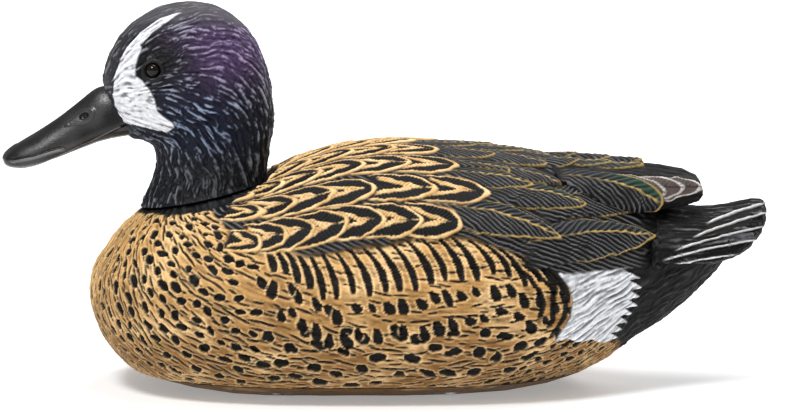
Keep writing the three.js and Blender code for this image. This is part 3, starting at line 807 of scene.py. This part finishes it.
def press_back(skin, back):
    """The dark ground of the back, then every feather on it from the rear forwards."""
    slope = math.radians(24)
    across = (skin.points + 0.8 * noise(skin.points, 6, 71)[:, None]) @ [math.sin(slope), 0, math.cos(slope)]
    comb = np.cos(2 * math.pi * across / BACK_PERIOD)
    skin.coat(mix(INK * 0.8, CHARCOAL_LIGHT, 0.7 * smooth(0.3, 1.0, comb)), back)
    skin.height = skin.height * (1 - back) + 0.2 * comb * back
    for down, tips, length, width in COVERTS:
        for n, x in enumerate(tips):
            tertial(chart_feather(skin, x, down, length, width, 0.06, 1.8), 300 + n, 0.0, 0.7)
    for n, (base, tip, width, sheen, bend) in enumerate(TERTIALS):
        tertial(side_feather(skin, base, tip, width, bend), 320 + n, sheen)
    for row, (down, tips, length, width) in enumerate(SCAPULARS):
        for n, x in enumerate(tips):
            turn = 0.05 + 0.5 * smooth(-10, -60, x) * smooth(0, 20, down)
            scale = 0.62 + 0.38 * smooth(-62, -25, x)
            feather = chart_feather(skin, x, down, length * scale, width * scale, turn, 1.7)
            scapular(feather, 400 + 20 * row + n)


def press_collar(skin):
    """The dark band round the neck joint. It lies a little low, so that the turning head clears it."""
    centre, axis, _ = neck_frame()
    rel = skin.points - centre
    flat = rel - (rel @ axis)[:, None] * axis
    far = np.linalg.norm(flat, axis=1) + 1.6 * (noise(skin.points, 2.4, 81) - 0.5)
    reach = np.interp(rel[:, 0] / SCALE, [-25, -5, 25], [29.5, 31.5, 34.0])
    band = smooth(1.0, -1.0, far / SCALE - reach) * smooth(60, 68, skin.points[:, 2] / SCALE)
    lines = streaks(skin.points, skin.tangent(flat), 0.9, 4, 82)
    skin.coat(mix(INK, CHARCOAL, smooth(-0.3, 1.4, lines)), band)
    skin.height = skin.height * (1 - band) + (0.1 * lines - 0.4) * band


def press_body(skin):
    flow = skin.tangent(body_flow(skin.points))
    x, z = skin.points[:, 0] / SCALE, skin.points[:, 2] / SCALE
    paint_tan(skin, flow)
    back, behind, white, vent, dark = body_regions(skin)
    top = np.interp(x, BACK_EDGE[:, 0], BACK_EDGE[:, 1])
    flank = smooth(-62, -40, x)
    barred = smooth(-62, -50, x) * smooth(33, 34, z)
    allowed = (z < top - 2.5) * (behind < -3) * (1 - barred) * 1.0
    allowed[smooth(16, 10, behind) * (behind > -18) * (z > 29) > 0] = 0
    size = 1.9 + 0.7 * flank + 1.1 * noise(skin.points, 7, 21)
    gap = 5.5 + 1.9 * flank + 1.0 * smooth(30, 12, z)
    tan_part = (z < top - 1.5) * (behind < -3) + (vent > 0.9)
    press_dashes(skin, flow, tan_part * (1.0 - 0.8 * barred) + 1e-12, 450)
    press_spots(skin, flow, allowed + 1e-12, gap * SCALE, size * SCALE, 500)
    vent_gap = np.full(len(x), 5.4 * SCALE)
    press_spots(skin, flow, (vent > 0.9) * (behind > 2) + 1e-12, vent_gap, 0.7 * size * SCALE, 900)
    frayed = top - z + 1.8 * (noise(skin.points, 1.8, 46) - 0.5)
    fringe = smooth(3.4, 0.8, frayed) * smooth(-48, -30, x) * (behind < 0)
    skin.coat(INK, 0.85 * fringe)
    skin.height -= 0.3 * fringe
    start = -56.0
    for n in range(21):
        start += 4.9 + 0.1 * n + rng.uniform(-0.5, 0.5)
        level = np.interp(start, BACK_EDGE[:, 0], BACK_EDGE[:, 1]) - 1.0
        length = (10 + 9.5 * smooth(-46, -28, start) - 5 * smooth(20, 60, start)) * rng.uniform(0.85, 1.15)
        curl = 5.5 + 4.5 * smooth(-40, 0, start)
        press_bar(skin, skin.at_side(start, level), length, 0.0, curl, rng.uniform(1.25, 1.7), 600 + n)
        for row in (0, 1):
            lower = level - length - rng.uniform(1.8, 3.6) - 11 * row
            across = start + curl + rng.uniform(-1, 1) + 2 * row
            reach = rng.uniform(3.5, 8)
            lean = rng.uniform(-0.5, 0.35)
            wide = rng.uniform(1.5, 2.3)
            press_bar(skin, skin.at_side(across, lower), reach, lean, 1.5, wide, 650 + 40 * row + n)
    press_pocket(skin, behind)
    press_dark(skin, dark, 60)
    press_white(skin, white)
    press_back(skin, back)
    press_collar(skin)
    skin.height *= smooth(0, 2.5, skin.points[:, 2] - skin.points[:, 2].min())


# ---- The head ----
SLATE = srgb(70, 72, 78)
# The _CREST colours go on the strands' crests: partly dry-brushed paint, partly painted highlight.
SLATE_CREST = srgb(142, 146, 154)
PURPLE = srgb(104, 80, 124)
NAVY = srgb(15, 21, 40)
BLUE_CREST = srgb(134, 148, 174)
# The white crescent's front and rear edges: height as seen from the side, then x.
CRESCENT_FRONT = np.array([(108, -93.6), (111.2, -106.6), (112.4, -111.8), (116.8, -114.8), (123.7, -116.6),
                           (131.5, -115.7), (138.4, -113.5), (144.9, -110.1), (150.9, -104.9),
                           (157, -95.8), (159.6, -87.1)]) * SCALE
CRESCENT_REAR = np.array([(108, -93.6), (110, -90), (112, -90.6), (114.2, -94.1), (116.8, -97.1),
                          (121.9, -98.4), (125.8, -100.1), (130.2, -103.6), (132.3, -106.6),
                          (136.6, -106.6), (140.5, -105.3), (145.7, -103.6), (150.5, -99.3),
                          (154.8, -93.6), (159.6, -87.1)]) * SCALE
CAMERA_RISE = math.radians(8)


def seen_height(points):
    """Height as it is seen by the camera, which looks a little down."""
    return points[:, 2] * math.cos(CAMERA_RISE) + points[:, 1] * math.sin(CAMERA_RISE)


def glow(x, h, cx, ch, wide, tall):
    return np.exp(-(((x - cx * SCALE) / (wide * SCALE)) ** 2) - ((h - ch * SCALE) / (tall * SCALE)) ** 2)


def press_head(skin):
    centre, axis, _ = neck_frame()
    level = (skin.points - centre) @ axis / SCALE
    x, h = skin.points[:, 0], seen_height(skin.points)
    fall = np.interp(level, [4, 20, 36, 50, 62, 78], [84, 58, 34, 8, -10, -24])
    fall += np.interp(x / SCALE, [-106, -82, -48], [-20, 0, 26]) * smooth(18, 34, level)
    fall = np.radians(fall)
    flow = np.stack([np.cos(fall), 0 * fall, -np.sin(fall)], 1)
    flow = skin.tangent(flow + 0.001)
    waves = warped(skin.points, 1.5, 7, 31)
    strands = streaks(waves, flow, 0.8, 2.4, 32)
    clumps = streaks(waves, flow, 1.5, 3.0, 35)
    crown = smooth(0.45, 0.8, skin.normals[:, 2]) * smooth(52, 62, level)
    front = np.interp(h, CRESCENT_FRONT[:, 0], CRESCENT_FRONT[:, 1])
    forehead = smooth(1, -2, x - front) * smooth(106, 112, h)
    calm = 1 - 0.72 * np.maximum(crown, 0.7 * forehead)
    relief = (0.24 * strands + 0.16 * clumps) * calm
    relief *= smooth(0, 2.5, level)
    # The strands' crests are lighter: partly dry-brushed paint, partly painted highlight.
    drybrush_and_highlight = smooth(0.4, 1.9, 0.95 * strands + 0.25 * clumps) * (0.55 + 0.45 * smooth(10, 36, level))
    trough = mix(srgb(18, 18, 22), srgb(80, 79, 83), np.maximum(crown, 0.35 * forehead))
    light = mix(SLATE_CREST, srgb(112, 111, 115), np.maximum(crown, forehead))
    blue = np.clip(1.2 * glow(x, h, -79, 112, 22, 19), 0, 1)
    trough = mix(trough, NAVY, blue)
    light = mix(light, BLUE_CREST, blue)
    purple = np.clip(1.3 * glow(x, h, -67, 145, 20, 16), 0, 1) * (1 - 0.75 * crown)
    trough = mix(trough, PURPLE * 0.5, purple)
    light = mix(light, srgb(150, 132, 166), purple)
    shade = np.clip(glow(x, h, -95, 138, 13, 9) + 0.9 * glow(x, h, -72, 88, 22, 11), 0, 1)
    light = mix(light, srgb(60, 60, 63), 0.85 * shade)
    trough = mix(trough, srgb(12, 12, 14), shade)
    skin.paint = mix(trough, light, 0.85 * drybrush_and_highlight)
    rear = np.interp(h, CRESCENT_REAR[:, 0], CRESCENT_REAR[:, 1])
    rag = 0.5 * clumps * smooth(138, 146, h)
    white = smooth(-0.4, 0.4, x - front) * smooth(-0.4, 0.4, rear - x + 0.7 * rag)
    white *= skin.normals[:, 1] < 0.1
    white *= smooth(108.0, 108.8, h / SCALE) * smooth(159.8, 158.6, h / SCALE)
    lines = smooth(0.7, 1.9, -strands)
    chalk = mix(srgb(222, 223, 227), srgb(120, 120, 128), 0.75 * lines)
    skin.coat(chalk, white)
    skin.height = relief * (1 - 0.45 * white) + 0.25 * white
    press_lid(skin)


def press_lid(skin):
    """A raised lid round the eye, and a dip for the eye to sit in."""
    low, high = box_mm("left_eye")
    eye = (low + high) / 2
    far = np.linalg.norm((skin.points - eye)[:, [0, 2]], axis=1) / SCALE
    side = skin.normals[:, 1] < 0.2
    lid = smooth(1.5, 0.4, np.abs(far - 4.2)) * side
    dip = smooth(3.6, 2.9, far) * side
    skin.height = skin.height * (1 - np.maximum(lid, dip)) + 1.0 * lid - 0.8 * dip
    skin.coat(srgb(24, 23, 23), np.maximum(dip, 0.85 * lid))
    skin.gloss = np.maximum(skin.gloss, 0.4 * np.maximum(dip, lid))


# ---- The bill, the tail and the wing tips ----
BILL_LEAN = math.radians(21)


def press_bill(skin):
    """A satin black bill with a nostril, a root seam, a groove above its edge, and a nail; painted shade in
    the nostril and the groove, painted highlights on the ridge below the groove and on the mouth line.
    """
    x, h = skin.points[:, 0] / SCALE, seen_height(skin.points) / SCALE
    side = skin.normals[:, 1] < -0.1
    worn = noise(skin.points, 9, 91)
    skin.paint = mix(srgb(28, 27, 27), srgb(60, 59, 59), smooth(0.3, 0.8, worn))
    along = (x + 129.4) * math.cos(0.5) + (h - 115.3) * math.sin(0.5)
    across = (h - 115.3) * math.cos(0.5) - (x + 129.4) * math.sin(0.5)
    drop = np.hypot((along + 1.8) / 6.4, across / (1.2 + 1.8 * smooth(-8, 1, along)))
    # The nostril's hollow is darkened with painted shade.
    shaded_pit = smooth(1.0, 0.6, np.hypot(along / 2.5, across / 1.7)) * side
    rim = smooth(0.28, 0.0, np.abs(drop - 0.95)) * side
    skin.height += 0.4 * rim - 1.3 * shaded_pit
    skin.coat(INK * 0.4, shaded_pit)
    root = x + 113.5 + 0.28 * (h - 118)
    skin.height += 0.5 * smooth(-1.8, 0.6, root)
    edge = np.interp(x, [-163, -159.7, -151.3, -139.8], [97.3, 96.8, 98.3, 101.8])
    run = side * smooth(-163, -159, x) * smooth(-136, -140, x)
    groove = smooth(0.8, 0.2, np.abs(h - edge)) * run
    lit_lip = smooth(1.0, 0.2, np.abs(h - edge + 1.3)) * run
    mouth = np.interp(x, [-128.8, -114.2], [103.2, 110.4])
    lit_crease = smooth(0.5, 0.1, np.abs(h - mouth)) * side * smooth(-131, -126, x)
    skin.height += 0.3 * lit_lip + 0.25 * lit_crease - 0.5 * groove
    # Painted highlights on the ridge below the groove and on the mouth line; painted shade in the groove.
    skin.coat(srgb(128, 126, 125), 0.6 * np.maximum(lit_lip, lit_crease))
    skin.coat(INK * 0.6, groove)
    nail = smooth(1.1, 0.8, np.hypot((x + 163.2) / 4.6, skin.points[:, 1] / (3.0 * SCALE)))
    skin.height += 0.35 * nail * (skin.normals[:, 2] > 0.1)
    skin.gloss += 0.55 + 0.15 * worn


def press_line(skin, start, end, wide, bow):
    """A raised white line on the tail, between two places seen from the side, with painted shade on the dark
    step under it.
    """
    x, h = skin.points[:, 0] / SCALE, seen_height(skin.points) / SCALE
    run = np.array([end[0] - start[0], end[1] - start[1]])
    reach = np.hypot(*run)
    along = ((x - start[0]) * run[0] + (h - start[1]) * run[1]) / reach**2
    across = ((h - start[1]) * run[0] - (x - start[0]) * run[1]) / reach - bow * 4 * along * (1 - along)
    side = smooth(0.25, 0.0, skin.normals[:, 1]) * smooth(-0.05, 0.08, along)
    ragged = 0.35 * (noise(skin.points, 2.5, 95) - 0.5)
    line = smooth(wide + 0.35, wide - 0.1, np.abs(across + ragged)) * side * smooth(1.1, 0.95, along)
    # The step under the line is darkened with painted shade.
    under = smooth(-2.8, -0.6, across) * smooth(0.2, -0.6, across) * side
    skin.height += 0.45 * line - 0.5 * under
    skin.coat(INK, 0.55 * under)
    skin.coat(mix(PALE_EDGE, WHITE, noise(skin.points, 3, 96)), 0.9 * line)


TAIL_LINES = [((139, 69.2), (163.3, 77.6)), ((133, 63.5), (164.1, 73.5)), ((125.2, 57.9), (162, 67.4)),
              ((120.4, 53.6), (158.5, 61.8)), ((113.1, 48.8), (149, 55.3))]


def press_tail(skin):
    """Charcoal tail feathers, each with a white line near its edge."""
    comb = streaks(warped(skin.points, 0.8, 8, 97), skin.rake(1.0, -0.15, 0.3), 1.0, 5, 98)
    open_part = smooth(112, 132, skin.points[:, 0] / SCALE)
    skin.paint = mix(INK * 1.1, mix(CHARCOAL, srgb(98, 98, 101), open_part), smooth(0.1, 1.9, comb))
    skin.height += 0.18 * comb
    press_dark(skin, 1 - open_part, 60)
    skin.height -= 0.4 * smooth(116, 106, skin.points[:, 0] / SCALE)
    for start, end in TAIL_LINES:
        press_line(skin, start, end, 0.22, 0.7)


PRIMARIES = [((84, 86.5), (137, 85.6), 6.2), ((78, 87.5), (130, 87.2), 6.4), ((72, 88.0), (121, 85.6), 6.8)]


def press_wing(skin):
    """Nested brown flight feathers with pale edges, under a green-sheened tertial and dark coverts."""
    comb = streaks(skin.points, skin.rake(1.0, 0, 0.05), 0.9, 4, 99)
    skin.paint = mix(INK, CHARCOAL, smooth(-0.4, 1.6, comb))
    skin.height += 0.12 * comb
    for n, (base, tip, width) in enumerate(PRIMARIES):
        primary(side_feather(skin, base, tip, width, 0.0, 1.8), 700 + n)
    tertial(side_feather(skin, (64, 82.5), (120, 81.2), 8.2, 0.0, 1.8), 720, 1.0)
    top = skin.points[:, 2]
    for n, (x, width) in enumerate(((112, 6.0), (98, 6.4), (84, 6.4))):
        tip = int(np.argmin(np.abs(skin.points[:, 0] - x * SCALE) * 3 - top))
        root = int(np.argmin(np.abs(skin.points[:, 0] - (x - 26) * SCALE) * 3 - top))
        tertial(Feather(skin, root, tip, width * SCALE, 1.5), 730 + n, 0.25, 0.8)


# ---- Meshes ----
def blurred(values, rounds):
    for _ in range(rounds):
        for axis in (0, 1):
            padded = np.pad(values, 1, mode="edge")
            trimmed = padded[:, 1:-1] if axis == 0 else padded[1:-1]
            line = np.moveaxis(trimmed, axis, 0)
            values = np.moveaxis(0.25 * line[:-2] + 0.5 * line[1:-1] + 0.25 * line[2:], 0, axis)
    return values


def faces_of(grid):
    """The faces' corners and where each face starts: a square per cell, or a triangle at a pole."""
    columns, rows = grid.shape[:2]
    a = (np.arange(columns - 1)[:, None] * rows + np.arange(rows - 1)).reshape(-1)
    corners = np.stack([a, a + rows, a + rows + 1, a + 1], 1)
    points = grid.reshape(-1, 3)
    sides = np.linalg.norm(points[corners] - points[np.roll(corners, -1, 1)], axis=2)
    short = sides < 1e-4
    keep = ~short
    keep[short.sum(1) > 1] = False  # a cell with nothing in it
    counts = keep.sum(1)
    starts = np.concatenate([[0], np.cumsum(counts[counts > 0])[:-1]])
    return corners[keep], starts


def mesh_of(name, grid, normals, chart, layers, mirrored):
    """One mesh, in metres, with its paint, relief and gloss, and a chart for the bake."""
    points, normals = grid.reshape(-1, 3).copy(), normals.reshape(-1, 3).copy()
    loops, starts = faces_of(grid)
    mid = len(starts) // 2
    face = loops[starts[mid]: starts[mid] + 3]
    first, second, third = points[face]
    turned = np.cross(second - first, third - first) @ normals[face[0]] < 0
    if mirrored:
        points[:, 1] *= -1
        normals[:, 1] *= -1
        turned = not turned
    if turned:
        ends = np.append(starts[1:], len(loops))
        order = np.concatenate([np.arange(b - 1, a - 1, -1) for a, b in zip(starts, ends)])
        loops = loops[order]
    mesh = bpy.data.meshes.new(name)
    mesh.vertices.add(len(points))
    mesh.vertices.foreach_set("co", (points * MM).ravel())
    mesh.loops.add(len(loops))
    mesh.loops.foreach_set("vertex_index", loops)
    mesh.polygons.add(len(starts))
    mesh.polygons.foreach_set("loop_start", starts)
    mesh.polygons.foreach_set("use_smooth", np.ones(len(starts), bool))
    mesh.update(calc_edges=True)
    uv = mesh.uv_layers.new(name="OFBake")
    uv.data.foreach_set("uv", chart.reshape(-1, 2)[loops].ravel())
    paint = mesh.attributes.new("paint", "FLOAT_COLOR", "POINT")
    rgba = np.column_stack([np.clip(layers[..., :3].reshape(-1, 3), 0, 1), np.ones(len(points))])
    paint.data.foreach_set("color", rgba.ravel())
    for k, layer in enumerate(("relief", "gloss")):
        mesh.attributes.new(layer, "FLOAT", "POINT").data.foreach_set("value", layers[..., 3 + k].ravel())
    mesh.normals_split_custom_set_from_vertices(normals)
    return mesh


def show(name, skin, body, material, nodes=(None, None), parts=1):
    """Puts the skin in the scene, in a few parts, and again mirrored for the right side."""
    columns, rows = skin.shape
    raised = (skin.points + skin.normals * skin.height[:, None]).reshape(columns, rows, 3)
    normals = grid_normals(raised, skin.centre)
    height = skin.height.reshape(columns, rows)
    relief = height - blurred(height, 10)
    layers = np.dstack([skin.paint.reshape(columns, rows, 3), relief, skin.gloss.reshape(columns, rows)])
    cuts = np.linspace(0, columns - 1, parts + 1).astype(int)
    down = np.linspace(0.004, 0.996, rows)  # the bake's chart keeps a margin
    for side in (0, 1):
        for k in range(parts):
            a, b = cuts[k], cuts[k + 1] + 1
            chart = np.dstack(np.meshgrid(np.linspace(0.004, 0.996, b - a), down, indexing="ij"))
            label = f"{name}_{('left', 'right')[side]}" + (f"_{k + 1}" if parts > 1 else "")
            mesh = mesh_of(label, raised[a:b], normals[a:b], chart, layers[a:b], side == 1)
            piece = bpy.data.objects.new(label, mesh)
            bpy.context.collection.objects.link(piece)
            mesh.materials.append(material)
            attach(piece, body)
            if nodes[side]:
                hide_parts(nodes[side])


# ---- Materials ----
def new_material(name):
    material = bpy.data.materials.new(name)
    material.use_nodes = True
    tree = material.node_tree
    shader = tree.nodes["Principled BSDF"]
    return material, tree, shader


def add(tree, kind, **values):
    """A node with its settings, then its inputs by name."""
    node = tree.nodes.new(kind)
    for key, value in values.items():
        if hasattr(node, key):
            setattr(node, key, value)
        else:
            node.inputs[key.replace("_", " ")].default_value = value
    return node


def texture_noise(tree, size):
    """Noise whose features are about this many millimetres wide."""
    place = add(tree, "ShaderNodeTexCoord")
    node = add(tree, "ShaderNodeTexNoise", Scale=1 / (size * MM), Detail=3.0)
    tree.links.new(place.outputs["Object"], node.inputs["Vector"])
    return node.outputs["Fac"]


def ranged(tree, value, low, high, to_low, to_high):
    node = add(tree, "ShaderNodeMapRange")
    tree.links.new(value, node.inputs["Value"])
    for key, number in (("From Min", low), ("From Max", high), ("To Min", to_low), ("To Max", to_high)):
        node.inputs[key].default_value = number
    return node.outputs["Result"]


def maths(tree, operation, a, b):
    node = add(tree, "ShaderNodeMath", operation=operation)
    for k, value in enumerate((a, b)):
        if isinstance(value, (int, float)):
            node.inputs[k].default_value = value
        else:
            tree.links.new(value, node.inputs[k])
    return node.outputs["Value"]


def scaled(tree, colour, value):
    """The colour times a value."""
    node = add(tree, "ShaderNodeVectorMath", operation="SCALE")
    tree.links.new(colour, node.inputs[0])
    tree.links.new(value, node.inputs["Scale"])
    return node.outputs["Vector"]


def bumped(tree, shader, height, depth, strength):
    node = add(tree, "ShaderNodeBump", Strength=strength, Distance=depth * MM)
    tree.links.new(height, node.inputs["Height"])
    tree.links.new(node.outputs["Normal"], shader.inputs["Normal"])


def painted(name, rough, grain=0.8, shine=0.16):
    """Matt paint over moulded relief, with painted shade in the hollows and painted highlights on the crests.
    """
    material, tree, shader = new_material(name)
    colour = add(tree, "ShaderNodeAttribute", attribute_name="paint").outputs["Color"]
    relief = add(tree, "ShaderNodeAttribute", attribute_name="relief").outputs["Fac"]
    gloss = add(tree, "ShaderNodeAttribute", attribute_name="gloss").outputs["Fac"]
    speckle = texture_noise(tree, grain)
    mottle = texture_noise(tree, 7.0)
    # From the relief: painted shade in the hollows, painted highlights on the crests.
    depth = ranged(tree, relief, -0.4, 0.24, 0.3, 1.2)
    shade = maths(tree, "MULTIPLY", depth, ranged(tree, speckle, 0.2, 0.8, 0.86, 1.12))
    shade = maths(tree, "MULTIPLY", shade, ranged(tree, mottle, 0.25, 0.75, 0.93, 1.06))
    tree.links.new(scaled(tree, colour, shade), shader.inputs["Base Color"])
    worn = ranged(tree, speckle, 0.25, 0.75, rough + 0.07, rough - 0.07)
    polish = maths(tree, "MULTIPLY", gloss, 0.35)
    tree.links.new(maths(tree, "SUBTRACT", worn, polish), shader.inputs["Roughness"])
    shader.inputs["Specular IOR Level"].default_value = shine
    bumped(tree, shader, texture_noise(tree, 0.5), 0.12, 0.7)
    return material


def two_tone(tree, shader, value, dark, light, low, high):
    """Base colour that runs from dark to light as the value runs from low to high."""
    ramp = add(tree, "ShaderNodeValToRGB")
    for stop, position, colour in zip(ramp.color_ramp.elements, (low, high), (dark, light)):
        stop.position = position
        stop.color = (*colour, 1)
    tree.links.new(value, ramp.inputs["Fac"])
    tree.links.new(ramp.outputs["Color"], shader.inputs["Base Color"])


def mottled(name, dark, light, rough, size, depth, metal=0.0):
    """A plain material with a fine mottle, an uneven shine and a slight grain."""
    material, tree, shader = new_material(name)
    mottle = texture_noise(tree, size)
    two_tone(tree, shader, mottle, dark, light, 0.3, 0.7)
    shader.inputs["Metallic"].default_value = metal
    tree.links.new(ranged(tree, mottle, 0.3, 0.7, rough + 0.06, rough - 0.06), shader.inputs["Roughness"])
    bumped(tree, shader, texture_noise(tree, 0.4 * size), depth, 0.6)
    return material


def glass_eye():
    """Black glass with a barely brown mottle."""
    material, tree, shader = new_material("glass_eye")
    place = add(tree, "ShaderNodeTexCoord")
    fibres = add(tree, "ShaderNodeTexNoise", Scale=2200.0, Detail=4.0)
    tree.links.new(place.outputs["Object"], fibres.inputs["Vector"])
    two_tone(tree, shader, fibres.outputs["Fac"], (0.002, 0.0018, 0.0016), (0.016, 0.009, 0.005), 0.35, 0.8)
    tree.links.new(ranged(tree, fibres.outputs["Fac"], 0.3, 0.7, 0.04, 0.1), shader.inputs["Roughness"])
    shader.inputs["Specular IOR Level"].default_value = 0.25
    return material


# ---- Everything in its place ----
feathers = painted("feather_paint", 0.6)
head_paint = painted("head_paint", 0.52, 0.6)
bill_paint = painted("bill_paint", 0.5, 1.2, 0.34)
steel = mottled("stainless_steel", (0.42, 0.42, 0.43), (0.62, 0.62, 0.62), 0.28, 1.4, 0.02, 1.0)
rubber = mottled("black_rubber", (0.012, 0.012, 0.012), (0.03, 0.03, 0.03), 0.72, 1.0, 0.06)
nylon = mottled("black_nylon", (0.018, 0.018, 0.019), (0.04, 0.04, 0.042), 0.45, 1.6, 0.04)
foam = mottled("buoyancy_foam", (0.62, 0.58, 0.45), (0.78, 0.74, 0.6), 0.9, 2.2, 0.4)
cast_iron = mottled("cast_ballast", (0.05, 0.052, 0.056), (0.12, 0.125, 0.13), 0.62, 1.8, 0.15, 0.3)
hull = mottled("hull_plastic", tuple(TAN_DEEP * 0.32), tuple(TAN_DEEP * 0.55), 0.6, 3.0, 0.12)
bill_plastic = mottled("bill_plastic", tuple(srgb(28, 27, 27)), tuple(srgb(48, 47, 46)), 0.36, 3.0, 0.08)
eye_glass = glass_eye()

NODE_LOOKS = {  # every other node is steel, or is replaced
    "hull_pan": hull, "hull_gasket": rubber, "foam_core": foam, "ballast_bar": cast_iron,
    "drain_plug": nylon, "drain_plug_seal": rubber, "neck_bushing": nylon, "neck_seal": rubber,
    "neck_plug": nylon, "lower_bill": bill_plastic,
}
for name, node in frame["nodes"].items():
    node.data.materials.clear()
    node.data.materials.append(NODE_LOOKS.get(name, steel))


def eyes():
    """A glass ball in each lid, which hides its rim."""
    for side in ("left", "right"):
        low, high = box_mm(f"{side}_eye")
        middle, radius = (low + high) / 2, 0.41 * (high - low).max()
        place = tuple(middle * MM)
        bpy.ops.mesh.primitive_uv_sphere_add(segments=48, ring_count=24, radius=radius * MM, location=place)
        ball = bpy.context.object
        ball.name = f"{side}_glass_eye"
        bpy.ops.object.shade_smooth()
        ball.data.materials.append(eye_glass)
        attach(ball, "head")
        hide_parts(f"{side}_eye")


def dress():
    """Makes every skin, presses and paints it, and puts it over its node."""
    shell_grid, side_grid = body_grids()
    body = Skin(shell_grid, TAN)
    press_body(body)
    show("feathered_shell", body, "body", feathers, ("body_shell", "body_shell"), 3)
    side = Skin(side_grid, TAN)
    paint_tan(side, side.tangent(body_flow(side.points)))
    # The hull's side is darker, and much darker towards the bottom where it turns under: painted shade.
    side.paint = mix(side.paint * 0.82, TAN_DEEP * 0.45, smooth(5.5, 1.0, side.points[:, 2]))
    x = side.points[:, 0]
    ends = smooth(0, 12, np.minimum(x - x.min(), x.max() - x))
    side.height = (0.1 + 0.3 * side.height) * ends
    show("hull_side", side, "body", feathers)

    head = Skin(head_grid(), SLATE, (-85, 0, 120))
    press_head(head)
    show("feathered_head", head, "head", head_paint, ("head_shell", "head_shell"))
    eyes()

    low, high = box_mm("upper_bill")
    stations = []
    for x in np.linspace(high[0] - 1.5, low[0] + 8 * SCALE, 28):
        stations.append(middle_of("upper_bill", x)[[0, 2]])
    bill = Skin(bill_grid("upper_bill", stations, stations[-1], BILL_LEAN), SLATE, (-138, 0, 108))
    press_bill(bill)
    show("moulded_bill", bill, "head", bill_paint, ("upper_bill", "upper_bill"))

    low, high = box_mm("tail_fan")
    tail = Skin(tail_grid(low, high), CHARCOAL, (low + high) / 2)
    press_tail(tail)
    show("feathered_tail", tail, "body", feathers, ("tail_fan", "tail_fan"))

    low, high = box_mm("left_wing_tip")
    places_along = np.linspace(low[0] + 6 * SCALE, high[0] - 4 * SCALE, 30)
    stations = [middle_of("left_wing_tip", x) for x in places_along]
    wing = Skin(refined(ring_grid("left_wing_tip", stations), 170, 130), CHARCOAL, (low + high) / 2)
    press_wing(wing)
    show("feathered_wing_tip", wing, "body", feathers, ("left_wing_tip", "right_wing_tip"))


dress()


# ---- Floor, light and camera ----
FLOOR_GAP = 0.0002  # metres under the decoy, so that no faces coincide
LENS = 249.7
SENSOR = 36
CAMERA_AWAY = 2.4  # metres
CAMERA_AIM = Vector((6.7, 0, 77.3)) * MM
LIGHTS = [  # name, place and width as multiples of the decoy's length, watts
    ("key_light", (-1.5, -2.2, 3.4), 1.0, 15.0),
    ("top_light", (0.4, 0.4, 3.6), 2.0, 8.0),
    ("rear_light", (2.4, 2.0, 2.2), 1.4, 6.0),
]


def lay_floor(middle, low, size):
    """A pale floor that glows more with distance, so that it runs out to white."""
    bpy.ops.mesh.primitive_plane_add(size=40 * size, location=(middle.x, middle.y, low.z - FLOOR_GAP))
    floor = bpy.context.object
    floor.name = "pale_floor"
    paper = mottled("pale_floor", (0.86, 0.86, 0.86), (0.9, 0.9, 0.9), 0.85, 90.0, 0.0)
    tree = paper.node_tree
    glowing = tree.nodes["Principled BSDF"]
    glowing.inputs["Emission Color"].default_value = (1, 1, 1, 1)
    place = add(tree, "ShaderNodeTexCoord")
    far = add(tree, "ShaderNodeVectorMath", operation="LENGTH")
    tree.links.new(place.outputs["Object"], far.inputs[0])
    glow_strength = ranged(tree, far.outputs["Value"], 0.9 * size, 3.5 * size, 0.3, 0.9)
    tree.links.new(glow_strength, glowing.inputs["Emission Strength"])
    floor.data.materials.append(paper)


def hang_lights(middle, size):
    """Three soft lamps, and a room that looks white but lights the decoy less than it looks."""
    for name, place, wide, power in LIGHTS:
        light = bpy.data.lights.new(name, "AREA")
        light.size = wide * size
        light.energy = power
        lamp = bpy.data.objects.new(name, light)
        lamp.location = middle + Vector(place) * size
        lamp.rotation_euler = (middle - lamp.location).to_track_quat("-Z", "Y").to_euler()
        bpy.context.collection.objects.link(lamp)
    world = bpy.data.worlds.new("bright_room")
    bpy.context.scene.world = world
    world.use_nodes = True
    tree = world.node_tree
    sky = tree.nodes["Background"]
    sky.inputs["Color"].default_value = (1, 1, 1, 1)
    path = tree.nodes.new("ShaderNodeLightPath")
    tree.links.new(ranged(tree, path.outputs["Is Camera Ray"], 0, 1, 0.27, 1.0), sky.inputs["Strength"])


def set_camera():
    """A long lens at the photo's angle, from the left and a little above."""
    lens = bpy.data.cameras.new("photo_camera")
    lens.lens = LENS
    lens.sensor_width = SENSOR
    camera = bpy.data.objects.new("photo_camera", lens)
    back = Vector((0, -math.cos(CAMERA_RISE), math.sin(CAMERA_RISE)))
    camera.location = CAMERA_AIM * SCALE + back * CAMERA_AWAY * SCALE
    camera.rotation_euler = (-back).to_track_quat("-Z", "Y").to_euler()
    bpy.context.collection.objects.link(camera)
    bpy.context.scene.camera = camera
    bpy.context.scene.view_settings.view_transform = "Standard"


def studio():
    low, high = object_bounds()
    middle, size = (low + high) / 2, (high - low).x
    lay_floor(middle, low, size)
    hang_lights(middle, size)
    set_camera()


studio()
